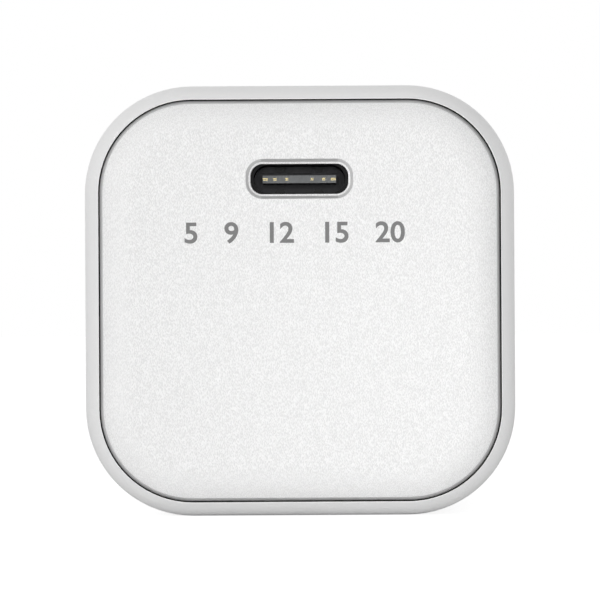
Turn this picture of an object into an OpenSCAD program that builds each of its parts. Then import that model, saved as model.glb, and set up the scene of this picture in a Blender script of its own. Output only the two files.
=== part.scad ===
// Plug-in mains adapter with one USB-C port.
// A cube-like two-shell housing with a fixed two-pin mains plug behind and the port in its front cover.
// +Z is up, the port faces -Y and the mains pins leave towards +Y. The housing lies on its flat underside.

/* [Housing] */
// Width and height of the housing
body_w = 39.4; // [38.8:0.1:44]
// Depth from the front face to the rear wall's outer face
body_d = 50; // [46:0.5:60]
// Radius of the four long corners
corner_r = 9.85; // [8.5:0.05:11]
// Thickness of the side walls
wall = 2; // [1.8:0.05:2.3]
// Thickness of the rear wall
rear_wall = 2.2; // [1.8:0.1:3]
// Fillet that runs over the cover and the housing's lip
front_round = 4.7; // [4:0.1:6]
// Rounding of the rear wall's edge
rear_round = 1.2; // [0.8:0.1:1.2]

/* [Front cover] */
// Visible width of the housing's lip outside the shut line
lip_w = 1.36; // [1.1:0.01:1.7]
// Rounding of the lip's inner edge
lip_round = 0.05; // [0.04:0.01:0.2]
// Width of the shut line
shut_gap = 0.16; // [0.1:0.01:0.25]
// Widening of the shut line towards its root
shut_relief = 0.12; // [0:0.01:0.2]
// Width of the bevel round the cover's edge
cover_bevel_w = 0.27; // [0.15:0.01:0.5]
// Depth of the bevel round the cover's edge
cover_bevel_d = 0.8; // [0.3:0.05:1]
// Thickness of the cover's face
cover_t = 1.8; // [1.4:0.05:2.2]
// Depth of the ledge on which the cover seats
ledge_d = 3.4; // [3:0.05:4]
// Thickness of the cover's alignment ring
ring_t = 1.2; // [0.9:0.05:1.5]
// Length of the alignment ring behind the ledge
ring_l = 2.8; // [2.4:0.1:3.4]
// Width of each snap hook on the ring
hook_w = 7; // [5:0.5:9]
// Reach of each snap hook
hook_reach = 0.45; // [0.3:0.05:0.5]

/* [Port] */
// Height of the port's axis above the middle of the face
port_rise = 11.05; // [9.8:0.05:11.8]
// Width of the opening in the cover
port_w = 8.9; // [8.7:0.01:9.3]
// Height of the opening in the cover
port_h = 2.74; // [2.65:0.01:2.9]
// Corner radius of the opening
port_r = 1.1; // [0.9:0.05:1.35]
// Width of the bevel round the opening
bevel_w = 0.26; // [0.15:0.01:0.35]
// Depth of the bevel round the opening
bevel_d = 0.65; // [0.3:0.01:0.7]
// Width of the flat rim between the bevel and the opening
rim_w = 0.17; // [0.1:0.01:0.25]
// Depth of the receptacle's mouth behind the face
mouth_d = 0.9; // [0.7:0.05:1.2]

/* [Receptacle] */
// Width of the receptacle's shell
usb_w = 8.94; // [8.9:0.01:9.1]
// Height of the receptacle's shell
usb_h = 3.16; // [3.1:0.01:3.3]
// Wall of the shell
usb_wall = 0.3; // [0.25:0.01:0.35]
// Length of the shell
usb_l = 7.9; // [7.4:0.1:9]
// Depth that a plug enters
usb_depth = 6.2; // [6.1:0.05:6.5]
// Width of the tongue
tongue_w = 6.69; // [6.6:0.01:6.75]
// Thickness of the tongue
tongue_t = 0.7; // [0.65:0.01:0.75]
// Distance from the mouth to the tongue's tip
tongue_set_back = 1; // [0.6:0.05:1.4]
// Height of the recess round the tongue's root
root_gap_h = 1.4; // [1.2:0.05:1.6]
// Thickness of the contacts
contact_t = 0.1; // [0.08:0.01:0.15]
// Length of the tongue's moulded tip, in which the contacts bend to the middle
tip_l = 0.55; // [0.4:0.05:0.7]

/* [Mains plug] */
// Width of the plug's stem
stem_w = 35.3; // [34.6:0.1:36]
// Height of the plug's stem
stem_h = 13.7; // [13:0.1:14.4]
// Size of the stem's 45-degree chamfers
stem_chamfer = 4.6; // [4:0.1:5]
// Length of the stem
stem_l = 18; // [17:0.5:22]
// Wall of the stem
stem_wall = 2; // [1.6:0.1:2.2]
// Thickness of the engagement wall that the pins pass through
engagement_t = 4; // [3.4:0.1:5]
// Rounding of the stem's end
stem_round = 1; // [0.5:0.1:1.5]
// Fillet between the stem and the rear wall
root_fillet = 0.8; // [0.4:0.1:0.8]
// Diameter of the bare pins
pin_d = 4; // [3.94:0.01:4.06]
// Length of the pins outside the stem
pin_l = 19; // [18:0.5:20]
// Distance between the pins at the stem
pin_spacing = 18.6; // [18:0.1:19.2]
// Distance between the pins at their tips
tip_spacing = 17.5; // [17:0.1:18]
// Diameter of the pins' cores under the sleeves
core_d = 3; // [2.6:0.1:3.2]
// Diameter of the insulating sleeves
sleeve_d = 3.5; // [3.3:0.05:3.6]
// Length of the sleeves outside the stem
sleeve_l = 10; // [9:0.5:11]
// Diameter of the collar that holds a pin in the wall
collar_d = 5.4; // [5:0.1:6]
// Length of the collar
collar_l = 1.5; // [1:0.1:2]
// Length of the carrier that the pins are pressed into
carrier_l = 8; // [6:0.5:10]

/* [Circuit board] */
// Thickness of the main board
board_t = 1.6; // [1.2:0.1:1.8]
// Play between the board and the housing
board_play = 0.3; // [0.15:0.05:0.5]
// Reach of the rails that carry the board
rail_reach = 1.3; // [1:0.1:1.6]
// Thickness of each rail
rail_t = 1; // [0.8:0.1:1.4]
// Thickness of the insulating liner
liner_t = 0.3; // [0.2:0.05:0.4]
// Thickness of the spring contacts behind the pins
strip_t = 0.6; // [0.4:0.05:0.8]
// Width of the spring contacts
strip_w = 3.4; // [3.2:0.1:4.4]

/* [Transformer] */
// Radius of the ferrite core's centre post
post_r = 3.6; // [3:0.1:4]
// Thickness of the primary winding
primary_t = 1.2; // [0.8:0.1:1.5]
// Thickness of the secondary winding
secondary_t = 0.9; // [0.6:0.1:1.2]
// Height of both core halves together
core_h = 19; // [17:0.1:21]
// Thickness of the core's backs
core_back = 2.5; // [2:0.1:3]
// Thickness of the core's outer legs beside the winding window
core_leg = 1.5; // [1.2:0.1:2]

/* [Capacitors] */
// Diameter of the bulk capacitors
bulk_d = 10; // [9:0.1:10.6]
// Length of the bulk capacitors
bulk_l = 20; // [16:0.5:21]
// Diameter of the output capacitors
output_d = 6.3; // [5:0.1:7]
// Length of the output capacitors
output_l = 11; // [8:0.5:14]
// Length of the line filter capacitor
x_cap_w = 12; // [11:0.1:14]
// Depth of the line filter capacitor
x_cap_l = 6; // [5:0.1:6.6]
// Height of the line filter capacitor
x_cap_h = 12; // [10:0.1:16]

/* [Filter and safety parts] */
// Outer diameter of the choke's ring
choke_d = 7; // [6.4:0.1:8]
// Inner diameter of the choke's ring
choke_hole_d = 3.6; // [3.2:0.1:4]
// Thickness of the choke's ring
choke_t = 3.2; // [2.8:0.1:3.6]
// Diameter of the fuse, which stands on end
fuse_d = 4; // [3.2:0.1:5]
// Length of the fuse
fuse_l = 10; // [7:0.5:14]
// Diameter of the two disc parts
disc_d = 6; // [5.4:0.1:7]
// Thickness of the two disc parts
disc_t = 2.4; // [2:0.1:2.6]

/* [Heat spreader] */
// Thickness of the heat spreader
spreader_t = 0.8; // [0.6:0.1:1]
// Height of the heat spreader above the board
spreader_h = 4.2; // [3.8:0.1:4.8]
// Space between the heat spreader and each side wall
spreader_side = 3.7; // [3.2:0.1:4.5]
// Overhang of the heat spreader before and behind the core
spreader_over = 1.2; // [0.6:0.1:1.4]

/* [Hidden] */
$fn = 96;

// Cutters reach past the faces that they open by this much.
over = 1;
// Clearance between parts that slide together, and between parts that are pressed or cast together.
slide_fit = 0.1;
seat_fit = 0.02;
// Space between neighbouring components, and between a component and the board that it hangs from.
part_gap = 0.5;
stand_off = 0.3;
// Component leads, their holes in the board, and how far they reach past its far face.
lead_d = 0.6;
lead_hole_d = 0.9;
lead_stub = 0.8;

// Depths are measured from the front face, and the whole part is centred on the origin.
pin_tilt = atan((pin_spacing - tip_spacing) / 2 / pin_l);
pin_r = pin_d / 2;
pin_reach = (pin_l - pin_r) * cos(pin_tilt) + pin_r;
total_l = body_d + stem_l + pin_reach;
face_y = -total_l / 2;
mid_z = body_w / 2;
stem_end = body_d + stem_l;

// Front cover and the mouth that takes it.
mouth_w = body_w - 2 * lip_w;
mouth_r = corner_r - lip_w;
cover_w = mouth_w - 2 * shut_gap;
cover_r = mouth_r - shut_gap;
cavity_w = body_w - 2 * wall;
cavity_r = corner_r - wall;
cavity_end = body_d - rear_wall;
ring_w = cavity_w - 2 * slide_fit;
ring_r = cavity_r - slide_fit;
ring_end = ledge_d + ring_l;
hook_set_back = 0.5;
hook_front = ledge_d + hook_set_back;
hook_flat = 0.4;
hook_root = 0.3;

// Port and receptacle.
port_z = mid_z + port_rise;
collar_t = 0.9;
usb_r = usb_h / 2;
usb_inner_w = usb_w - 2 * usb_wall;
usb_inner_h = usb_h - 2 * usb_wall;
usb_end = mouth_d + usb_l;
root_d = mouth_d + usb_depth;
root_side = 0.3;
root_gap_d = 0.6;
tongue_d = mouth_d + tongue_set_back;
mid_plate_t = 0.2;
mid_plate_inset = 0.4;
mid_plate_front = tongue_d + tip_l;
mid_plate_end = usb_end - mid_plate_inset;
// The contacts' trimmed ends: half the space between the upper and the lower ones, and their straight run.
contact_split = 0.03;
contact_run = 0.15;
// The contacts' distances from the middle of the tongue, and their widths: signal, supply and ground.
contact_x = [1.16, 2.22, 3.1];
contact_w = [0.26, 0.3, 0.44];
// Ground springs: distance from the middle, width of their slots, and the spring's two widths and its height.
spring_x = 1.77;
spring_slot_w = 1.4;
spring_w = [1.1, 0.6];
spring_h = 0.5;
spring_t = 0.4;
// Legs of the shell: thickness, width, distance of the first from the mouth, and how far apart they stand.
leg_t = 0.3;
leg_w = 1.1;
leg_first = 2.3;
leg_pitch = 3;
leg_at = [mouth_d + leg_first, mouth_d + leg_first + leg_pitch];

// Main board, carried by rails on the side walls.
board_top = port_z - usb_r;
board_under = board_top - board_t;
board_w = cavity_w - 2 * board_play;
board_front = ring_end + board_play;
board_rear = cavity_end - board_play;
tab_w = 24;
tab_front = cover_t + board_play;
rail_front = ring_end + part_gap;

// Mains pins and the spring contacts riveted to their tails.
stem_cavity_end = stem_end - engagement_t;
carrier_front = stem_cavity_end - carrier_l;
strip_front = carrier_front - strip_t;
strip_rear = 2.4;
strip_riser = cavity_end - strip_rear;
strip_rise = 2.8;
strip_drop = 2.4;
strip_run_z = mid_z + strip_rise;
strip_foot_z = mid_z - strip_drop;
strip_x = pin_spacing / 2 + (stem_end - strip_front) * tan(pin_tilt);
rivet_d = 4.4;
rivet_l = 0.7;
pin_lead_in = 0.3;

// Rows of components that hang under the board, from the front to the rear.
liner_w = cavity_w - 2 * slide_fit;
liner_r = cavity_r - slide_fit;
liner_top = board_under - rail_t - part_gap;
side_x = cavity_w / 2 - rail_reach - stand_off;
floor_z = wall + slide_fit + liner_t;
hang_z = board_under - stand_off;
row_front = leg_at[1] + leg_w / 2 + stand_off;
output_y = row_front + output_d / 2;
output_x = [-side_x + output_d / 2, -side_x + part_gap + 1.5 * output_d];
output_right = output_x[1] + output_d / 2;
disc_x = side_x - disc_t / 2;
disc_drop = 1;
disc_z = board_under - disc_d / 2 - disc_drop;
inductor_d = 7;
inductor_l = 6;
inductor_at = [(output_right + disc_x - disc_t / 2) / 2, row_front + inductor_d / 2];
row_y = output_y + output_d / 2 + part_gap;

// Transformer, sized from its post outwards. Its core lies between the bobbin's two pin rails.
bobbin_wall = 0.7;
tape_t = 0.2;
tube_r = post_r + slide_fit + bobbin_wall;
coil_r = tube_r + primary_t + tape_t + secondary_t;
flange_t = 0.7;
flange_r = coil_r + 0.2;
window_r = flange_r + part_gap;
window_w = 2 * (coil_r - 0.2);
core_w = 2 * (window_r + core_leg);
core_l = 2 * (flange_r + slide_fit);
pin_rail_l = 1.6;
core_at = [-side_x + core_w / 2, row_y + pin_rail_l + core_l / 2];
core_drop = 1.4;
core_top = board_under - core_drop;
core_mid = core_top - core_h / 2;
core_bottom = core_top - core_h;
air_gap = 0.3;
flange_top = core_top - core_back - slide_fit;
flange_low = core_bottom + core_back + slide_fit;
bobbin_pin_x = [-5, -1.7, 1.7, 5];

// Bulk capacitors in a column beside the transformer, with one disc before them and one behind.
bulk_x = side_x - bulk_d / 2;
bulk_y = [row_y + bulk_d / 2, row_y + 1.5 * bulk_d + part_gap];
bulk_rear = bulk_y[1] + bulk_d / 2 + part_gap;
disc_y = [row_front + disc_d / 2, bulk_rear + disc_d / 2];

// Line filter at the rear.
filter_y = core_at[1] + core_l / 2 + pin_rail_l + part_gap;
x_cap_at = [-side_x + x_cap_w / 2, filter_y + x_cap_l / 2];
wire_t = 0.7;
choke_r = choke_d / 2 + wire_t;
choke_at = [x_cap_at[0] + x_cap_w / 2 + part_gap + choke_r, bulk_rear + choke_t / 2 + wire_t];
choke_drop = 0.4;
choke_z = board_under - choke_r - choke_drop;
choke_span = 140;
fuse_at = [disc_x - (disc_t + fuse_d) / 2 - part_gap, bulk_rear + fuse_d / 2];

// Parts on top of the board: width, depth and height of each, and where its middle lies.
bridge_size = [6.6, 6.5, 2];
bridge_at = x_cap_at;
switch_size = [6, 5, 0.9];
switch_at = core_at + [0, (core_l - switch_size[1]) / 2];
rectifier_size = [6, 5, 1];
rectifier_at = core_at - [0, (core_l - rectifier_size[1]) / 2];
opto_size = [4.4, 4, 2];
opto_at = [(core_at[0] + core_w / 2 + bulk_x) / 2, core_at[1]];
controller_size = [4, 4, 0.8];
controller_at = [0, row_y - controller_size[1] / 2];
chip_lift = 0.1;
chip_lead = [0.9, 0.4, 0.25];
pad_margin = 0.4;
spreader_w = cavity_w - 2 * spreader_side;
spreader_l = core_l + 2 * spreader_over;
spreader_front = core_at[1] - spreader_l / 2;
spreader_top = board_top + spreader_h;
spreader_under = spreader_top - spreader_t;
spreader_bend = 1.4;
core_pad_inset = 1.5;
core_pad_x = [cavity_r - cavity_w / 2, core_at[0] + core_w / 2 - core_pad_inset];
core_pad_l = core_l - 2 * core_pad_inset;

// Moves what is drawn from the front face into the part's frame.
module in_frame() {
  translate([0, face_y, 0])
    children();
}

// Turns a shape that is drawn along +Z so that it runs into the depth, from a point at the given height.
module along(depth, height) {
  translate([0, depth, height])
    rotate([-90, 0, 0])
      children();
}

// Extrudes a side view, drawn as depth and height, across a width about x.
module across(x, w) {
  translate([x - w / 2, 0, 0])
    rotate([90, 0, 90])
      linear_extrude(w)
        children();
}

module box_at(middle, low, size) {
  translate([middle[0] - size[0] / 2, middle[1] - size[1] / 2, low])
    cube(size);
}

module rounded_rect(w, h, r) {
  square([w, h - 2 * r], center = true);
  square([w - 2 * r, h], center = true);
  for (x = [-1, 1], y = [-1, 1])
    translate([x * (w / 2 - r), y * (h / 2 - r)])
      circle(r);
}

// Flat-sided outline with half-round ends.
module stadium(w, h) {
  square([w - h, h], center = true);
  for (side = [-1, 1])
    translate([side * (w - h) / 2, 0])
      circle(h / 2);
}

module stadium_prism(w, h, depth, l) {
  translate([0, 0, depth])
    linear_extrude(l)
      stadium(w, h);
}

module rounded_prism(w, h, r, depth, l) {
  translate([0, 0, depth])
    linear_extrude(l)
      rounded_rect(w, h, r);
}

// Carries a profile round a rounded rectangle: four turned corners, four straight sides and the middle.
module rect_sweep(w, h, r, low, high) {
  straight = [w - 2 * r, h - 2 * r];
  for (x = [-1, 1], y = [-1, 1])
    translate([x * straight[0] / 2, y * straight[1] / 2, 0])
      rotate(x * y * 45 + (x < 0 ? 180 : 0) - 45)
        rotate_extrude(angle = 90)
          children();
  for (turn = [0 : 90 : 270])
    rotate(turn) {
      side = (turn % 180) / 90;
      translate([0, straight[1 - side] / 2, 0])
        rotate([90, 0, 90])
          linear_extrude(straight[side], center = true)
            children();
    }
  translate([-straight[0] / 2, -straight[1] / 2, low])
    cube([straight[0], straight[1], high - low]);
}

// Section of the housing from a long corner's axis outwards, with the front edge at y = 0.
module edge_profile(r, l, front_r, rear_r) {
  difference() {
    square([r, l]);
    translate([r - front_r, front_r])
      difference() {
        translate([0, -front_r - over])
          square(front_r + over);
        circle(front_r);
      }
    translate([r - rear_r, l - rear_r])
      difference() {
        square(rear_r + over);
        circle(rear_r);
      }
  }
}

// Corners of the stem's octagon, counterclockwise, shrunk on every side by an inset.
function stem_corners(inset) =
  let (w = stem_w / 2 - inset, h = stem_h / 2 - inset, c = stem_chamfer - inset * (2 - sqrt(2)))
  [
    [w - c, h], [c - w, h], [-w, h - c], [-w, c - h],
    [c - w, -h], [w - c, -h], [w, c - h], [w, h - c]
  ];

module stem_outline(inset) {
  polygon(stem_corners(inset));
}

// Outline of the stem seen from one side, with its two end corners rounded.
module stem_side(half, l) {
  translate([-half, 0])
    square([2 * half, l - stem_round]);
  translate([stem_round - half, 0])
    square([2 * (half - stem_round), l]);
  for (side = [-1, 1])
    translate([side * (half - stem_round), l - stem_round])
      circle(stem_round);
}

module stem_solid(l) {
  intersection() {
    linear_extrude(l)
      stem_outline(0);
    rotate([90, 0, 0])
      linear_extrude(stem_h + over, center = true)
        stem_side(stem_w / 2, l);
    rotate([90, 0, 90])
      linear_extrude(stem_w + over, center = true)
        stem_side(stem_h / 2, l);
  }
}

// Section of the fillet at the stem's root, drawn outwards from the stem and up from inside the rear wall.
// Its arc runs a little into both faces, so that it meets them at a clear angle.
module root_section() {
  middle = root_fillet - seat_fit;
  difference() {
    square([middle, rear_wall / 2 + middle]);
    translate([middle, rear_wall / 2 + middle])
      circle(root_fillet);
  }
}

// Fillet round the stem's root: a straight run along each side of the octagon and a turn at each corner.
module stem_root() {
  corners = stem_corners(0);
  corner_turn = 360 / len(corners);
  for (i = [0 : len(corners) - 1]) {
    side = corners[(i + 1) % len(corners)] - corners[i];
    translate(corners[i])
      rotate(atan2(side[1], side[0])) {
        mirror([0, 1, 0])
          rotate([90, 0, 90])
            linear_extrude(norm(side))
              root_section();
        rotate(-90 - corner_turn)
          rotate_extrude(angle = corner_turn)
            root_section();
      }
  }
}

// Puts a shape that is drawn along +Z on one pin's axis, which starts at the engagement face.
module on_pin(side) {
  translate([side * pin_spacing / 2, stem_end, mid_z])
    rotate([0, 0, side * pin_tilt])
      rotate([-90, 0, 0])
        children();
}

// Snap hooks on the cover's ring, one on each side, or with some growth the pockets that they snap into.
module hooks(root, tip, grow) {
  front = hook_front - grow;
  flat_end = hook_front + hook_flat + grow;
  for (turn = [0 : 90 : 270])
    rotate(turn)
      translate([-hook_w / 2 - grow, 0, 0])
        rotate([90, 0, 90])
          linear_extrude(hook_w + 2 * grow)
            polygon([[root, front], [tip, front], [tip, flat_end], [root, flat_end + 2 * (tip - root)]]);
}

// Stepped hole that holds a sleeve and its pin's collar in the engagement wall, with a lead-in at the face.
module pin_hole() {
  hole_r = (sleeve_d + slide_fit) / 2;
  step_r = (collar_d + slide_fit) / 2;
  step_z = collar_l - engagement_t;
  rotate_extrude()
    polygon([
      [0, -engagement_t - over], [step_r, -engagement_t - over], [step_r, step_z], [hole_r, step_z],
      [hole_r, -pin_lead_in], [hole_r + pin_lead_in, 0], [hole_r + pin_lead_in, over], [0, over]
    ]);
}

module housing() color("white") in_frame() {
  hook_tip = cavity_w / 2 + hook_reach;
  difference() {
    union() {
      along(0, mid_z)
        rect_sweep(body_w, body_w, corner_r, 0, body_d)
          edge_profile(corner_r, body_d, front_round, rear_round);
      along(body_d - rear_wall / 2, mid_z) {
        stem_solid(stem_l + rear_wall / 2);
        stem_root();
      }
    }
    along(0, mid_z) {
      mouth_cut();
      rounded_prism(cavity_w, cavity_w, cavity_r, ledge_d - seat_fit, cavity_end - ledge_d + seat_fit);
      hooks(cavity_w / 2 - hook_root, hook_tip + slide_fit, slide_fit);
    }
    along(cavity_end - over, mid_z)
      linear_extrude(stem_cavity_end - cavity_end + over)
        stem_outline(stem_wall);
    for (side = [-1, 1])
      on_pin(side)
        pin_hole();
  }
  for (side = [-1, 1], low = [board_under - rail_t, board_top + slide_fit])
    box_at(
      [side * (cavity_w - rail_reach + slide_fit) / 2, (rail_front + cavity_end) / 2],
      low,
      [rail_reach + slide_fit, cavity_end - rail_front, rail_t]
    );
}

// Section of the cover, with its steep bevel where the front fillet meets the side.
module cover_profile() {
  x = cover_r - cover_bevel_w;
  rise = x - corner_r + front_round;
  y = front_round - sqrt(front_round * front_round - rise * rise);
  slope = cover_bevel_w / cover_bevel_d;
  intersection() {
    edge_profile(corner_r, body_d, front_round, rear_round);
    polygon([
      [0, 0], [x - slope * y, 0], [cover_r, y + cover_bevel_d], [cover_r, ledge_d], [0, ledge_d]
    ]);
  }
}

// Mouth of the housing inside its rounded lip, widening a little towards the ledge.
module mouth_cut() {
  arc_mid = [corner_r - front_round, front_round];
  reach = front_round - lip_round;
  x = mouth_r + lip_round;
  y = arc_mid[1] - sqrt(reach * reach - (x - arc_mid[0]) * (x - arc_mid[0]));
  crest = arc_mid + ([x, y] - arc_mid) * (front_round + over) / reach;
  rect_sweep(mouth_w, mouth_w, mouth_r, -over, ledge_d) {
    polygon([
      [0, -over], [mouth_r, -over], [mouth_r, y], [mouth_r, y + lip_round],
      [mouth_r + shut_relief, ledge_d], [0, ledge_d]
    ]);
    difference() {
      polygon([[mouth_r - seat_fit, -over], crest, [x, y], [mouth_r - seat_fit, y]]);
      translate([x, y])
        circle(lip_round);
    }
  }
}

// Recess round the port: a slanting wall down to a narrow rim.
module port_bevel() {
  r = port_r + rim_w + bevel_w;
  rect_sweep(port_w + 2 * (rim_w + bevel_w), port_h + 2 * (rim_w + bevel_w), r, -over, bevel_d)
    polygon([[0, -over], [r, -over], [r, 0], [r - bevel_w, bevel_d], [0, bevel_d]]);
}

// Wall behind the cover's face that arches over the receptacle, which the board carries from below.
module receptacle_collar() {
  w = usb_w + 2 * collar_t;
  intersection() {
    along(0, port_z)
      stadium_prism(w, usb_h + 2 * collar_t, 0, ledge_d);
    translate([-w / 2, 0, port_z])
      cube([w, ledge_d, usb_h]);
  }
}

module front_cover() color("white") in_frame()
  difference() {
    along(0, mid_z) {
      rect_sweep(cover_w, cover_w, cover_r, 0, ledge_d)
        cover_profile();
      rounded_prism(ring_w, ring_w, ring_r, ledge_d - over, ring_l + over);
      hooks(ring_w / 2 - hook_root, cavity_w / 2 + hook_reach, 0);
    }
    difference() {
      along(0, mid_z)
        rounded_prism(ring_w - 2 * ring_t, ring_w - 2 * ring_t, ring_r - ring_t, cover_t, ring_end);
      receptacle_collar();
    }
    along(0, port_z) {
      port_bevel();
      rounded_prism(port_w, port_h, port_r, 0, ledge_d);
      stadium_prism(usb_w + 2 * slide_fit, usb_h + 2 * slide_fit, mouth_d, ledge_d);
    }
  }

module usb_shell() color("dimgray") in_frame()
  difference() {
    union() {
      along(mouth_d, port_z)
        stadium_prism(usb_w, usb_h, 0, usb_l);
      for (side = [-1, 1], depth = leg_at)
        box_at(
          [side * (usb_w / 2 - usb_wall), depth],
          board_under - lead_stub,
          [leg_t, leg_w, port_z - board_under + lead_stub]
        );
    }
    along(mouth_d, port_z)
      stadium_prism(usb_inner_w, usb_inner_h, -over, usb_l + 2 * over);
  }

// Slots in the face behind the cavity that the ground springs sit in, two above the tongue and two below.
module spring_slots() {
  for (side = [-1, 1], up = [-1, 1])
    box_at(
      [side * spring_x, root_d],
      port_z + up * (usb_inner_h + root_gap_h) / 4 - spring_h,
      [spring_slot_w, 2 * spring_t, 2 * spring_h]
    );
}

module mid_plate_solid() {
  box_at(
    [0, (mid_plate_front + mid_plate_end) / 2],
    port_z - mid_plate_t / 2,
    [tongue_w, mid_plate_end - mid_plate_front, mid_plate_t]
  );
}

// Side view of one contact above the middle: flush with the tongue's face, then bent to its trimmed end at the tip.
module contact_side() {
  outer = tongue_t / 2;
  polygon([
    [usb_end, outer], [tongue_d + tip_l - contact_t, outer],
    [tongue_d + contact_run, contact_split + contact_t], [tongue_d, contact_split + contact_t],
    [tongue_d, contact_split], [tongue_d + contact_run + contact_t, contact_split],
    [tongue_d + tip_l, outer - contact_t], [usb_end, outer - contact_t]
  ]);
}

// Six contacts on each face of the tongue.
module contact_rows() {
  for (side = [-1, 1], i = [0 : len(contact_x) - 1], turn = [0, 180])
    translate([0, 0, port_z])
      rotate([0, turn, 0])
        across(side * contact_x[i], contact_w[i])
          contact_side();
}

module usb_insulator() color("#202020") in_frame()
  difference() {
    union() {
      difference() {
        along(root_d, port_z)
          stadium_prism(usb_inner_w, usb_inner_h, 0, usb_end - root_d);
        box_at([0, root_d], port_z - root_gap_h / 2, [tongue_w + 2 * root_side, 2 * root_gap_d, root_gap_h]);
        spring_slots();
      }
      box_at([0, (tongue_d + usb_end) / 2], port_z - tongue_t / 2, [tongue_w, usb_end - tongue_d, tongue_t]);
    }
    mid_plate_solid();
    contact_rows();
  }

module usb_mid_plate() color("gray") in_frame()
  mid_plate_solid();

module usb_contacts() color("goldenrod") in_frame()
  contact_rows();

module usb_ground_springs() color("dimgray") in_frame()
  for (side = [-1, 1], up = [-1, 1])
    translate([side * spring_x, root_d + spring_t, port_z + up * (usb_inner_h / 2 - seat_fit)])
      rotate([90, 0, 0])
        linear_extrude(spring_t)
          polygon([
            [-spring_w[0] / 2, 0], [spring_w[0] / 2, 0],
            [spring_w[1] / 2, -up * spring_h], [-spring_w[1] / 2, -up * spring_h]
          ]);

// A pin is one turned piece: tail, collar, slim core under the sleeve, and the bare end with its round tip.
module pin(side) color("silver") in_frame()
  on_pin(side)
    rotate_extrude() {
      tail = engagement_t + carrier_l + strip_t + rivet_l + slide_fit;
      translate([0, -tail])
        square([core_d / 2, tail + sleeve_l]);
      translate([0, -tail])
        square([rivet_d / 2, rivet_l]);
      translate([0, slide_fit - engagement_t])
        square([collar_d / 2, collar_l - slide_fit]);
      translate([0, sleeve_l])
        square([pin_r, pin_l - sleeve_l - pin_r]);
      translate([0, pin_l - pin_r])
        intersection() {
          circle(pin_r);
          square(pin_r);
        }
    }

module pin_left() pin(-1);

module pin_right() pin(1);

module sleeve(side) color("black") in_frame()
  on_pin(side)
    translate([0, 0, collar_l - engagement_t])
      difference() {
        l = engagement_t - collar_l + sleeve_l;
        cylinder(d = sleeve_d, h = l);
        translate([0, 0, -over])
          cylinder(d = core_d + seat_fit, h = l + 2 * over);
      }

module sleeve_left() sleeve(-1);

module sleeve_right() sleeve(1);

module pin_carrier() color("ivory") in_frame()
  difference() {
    along(carrier_front, mid_z)
      linear_extrude(carrier_l)
        stem_outline(stem_wall + slide_fit);
    for (side = [-1, 1])
      on_pin(side)
        translate([0, 0, -engagement_t - carrier_l - over])
          cylinder(d = core_d + seat_fit, h = carrier_l + 2 * over);
  }

// Strip that is riveted to a pin's tail, runs out of the stem and stands up through the board.
module spring_contact(side) color("peru") in_frame()
  difference() {
    across(side * strip_x, strip_w)
      polygon([
        [strip_front, strip_foot_z],
        [carrier_front, strip_foot_z],
        [carrier_front, strip_run_z],
        [strip_riser + strip_t, strip_run_z],
        [strip_riser + strip_t, board_top + lead_stub],
        [strip_riser, board_top + lead_stub],
        [strip_riser, strip_run_z - strip_t],
        [strip_front, strip_run_z - strip_t]
      ]);
    on_pin(side)
      translate([0, 0, -engagement_t - carrier_l - strip_t - over])
        cylinder(d = core_d + slide_fit, h = strip_t + 2 * over);
  }

module spring_contact_left() spring_contact(-1);

module spring_contact_right() spring_contact(1);

module insulating_liner() color("lightyellow") in_frame()
  intersection() {
    along(rail_front, mid_z)
      difference() {
        rounded_prism(liner_w, liner_w, liner_r, 0, cavity_end - part_gap - rail_front);
        rounded_prism(
          liner_w - 2 * liner_t, liner_w - 2 * liner_t, liner_r - liner_t, -over, body_d
        );
      }
    translate([-body_w / 2, 0, 0])
      cube([body_w, body_d, liner_top]);
  }

function pair(at, pitch, turn) = [for (side = [-1, 1]) at + side * pitch / 2 * [cos(turn), sin(turn)]];

// Where the leads of each part under the board go through it, by the usual lead pitches.
bulk_pitch = 5;
output_pitch = 2.5;
inductor_pitch = 4;
x_cap_pitch = 10;
disc_pitch = 5;
choke_pitch = [5.6, 2.2];
fuse_pitch = 2;
bulk_pins = [for (y = bulk_y) pair([bulk_x, y], bulk_pitch, 90)];
output_pins = [for (x = output_x) pair([x, output_y], output_pitch, 0)];
inductor_pins = pair(inductor_at, inductor_pitch, 0);
x_cap_pins = pair(x_cap_at, x_cap_pitch, 0);
disc_pins = [for (y = disc_y) pair([disc_x, y], disc_pitch, 90)];
choke_pins = [for (side = [-1, 1]) pair(choke_at + [side * choke_pitch[0] / 2, 0], choke_pitch[1], 90)];
fuse_pins = pair(fuse_at, fuse_pitch, 90);
bobbin_pins = [
  for (side = [-1, 1], x = bobbin_pin_x)
    core_at + [x, side * (core_l + pin_rail_l) / 2]
];
all_pins = concat(
  bulk_pins[0], bulk_pins[1], output_pins[0], output_pins[1], inductor_pins, x_cap_pins,
  disc_pins[0], disc_pins[1], choke_pins[0], choke_pins[1], fuse_pins, bobbin_pins
);

module leads(places, low) {
  for (at = places)
    translate([at[0], at[1], low])
      cylinder(d = lead_d, h = board_top + lead_stub - low);
}

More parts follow.
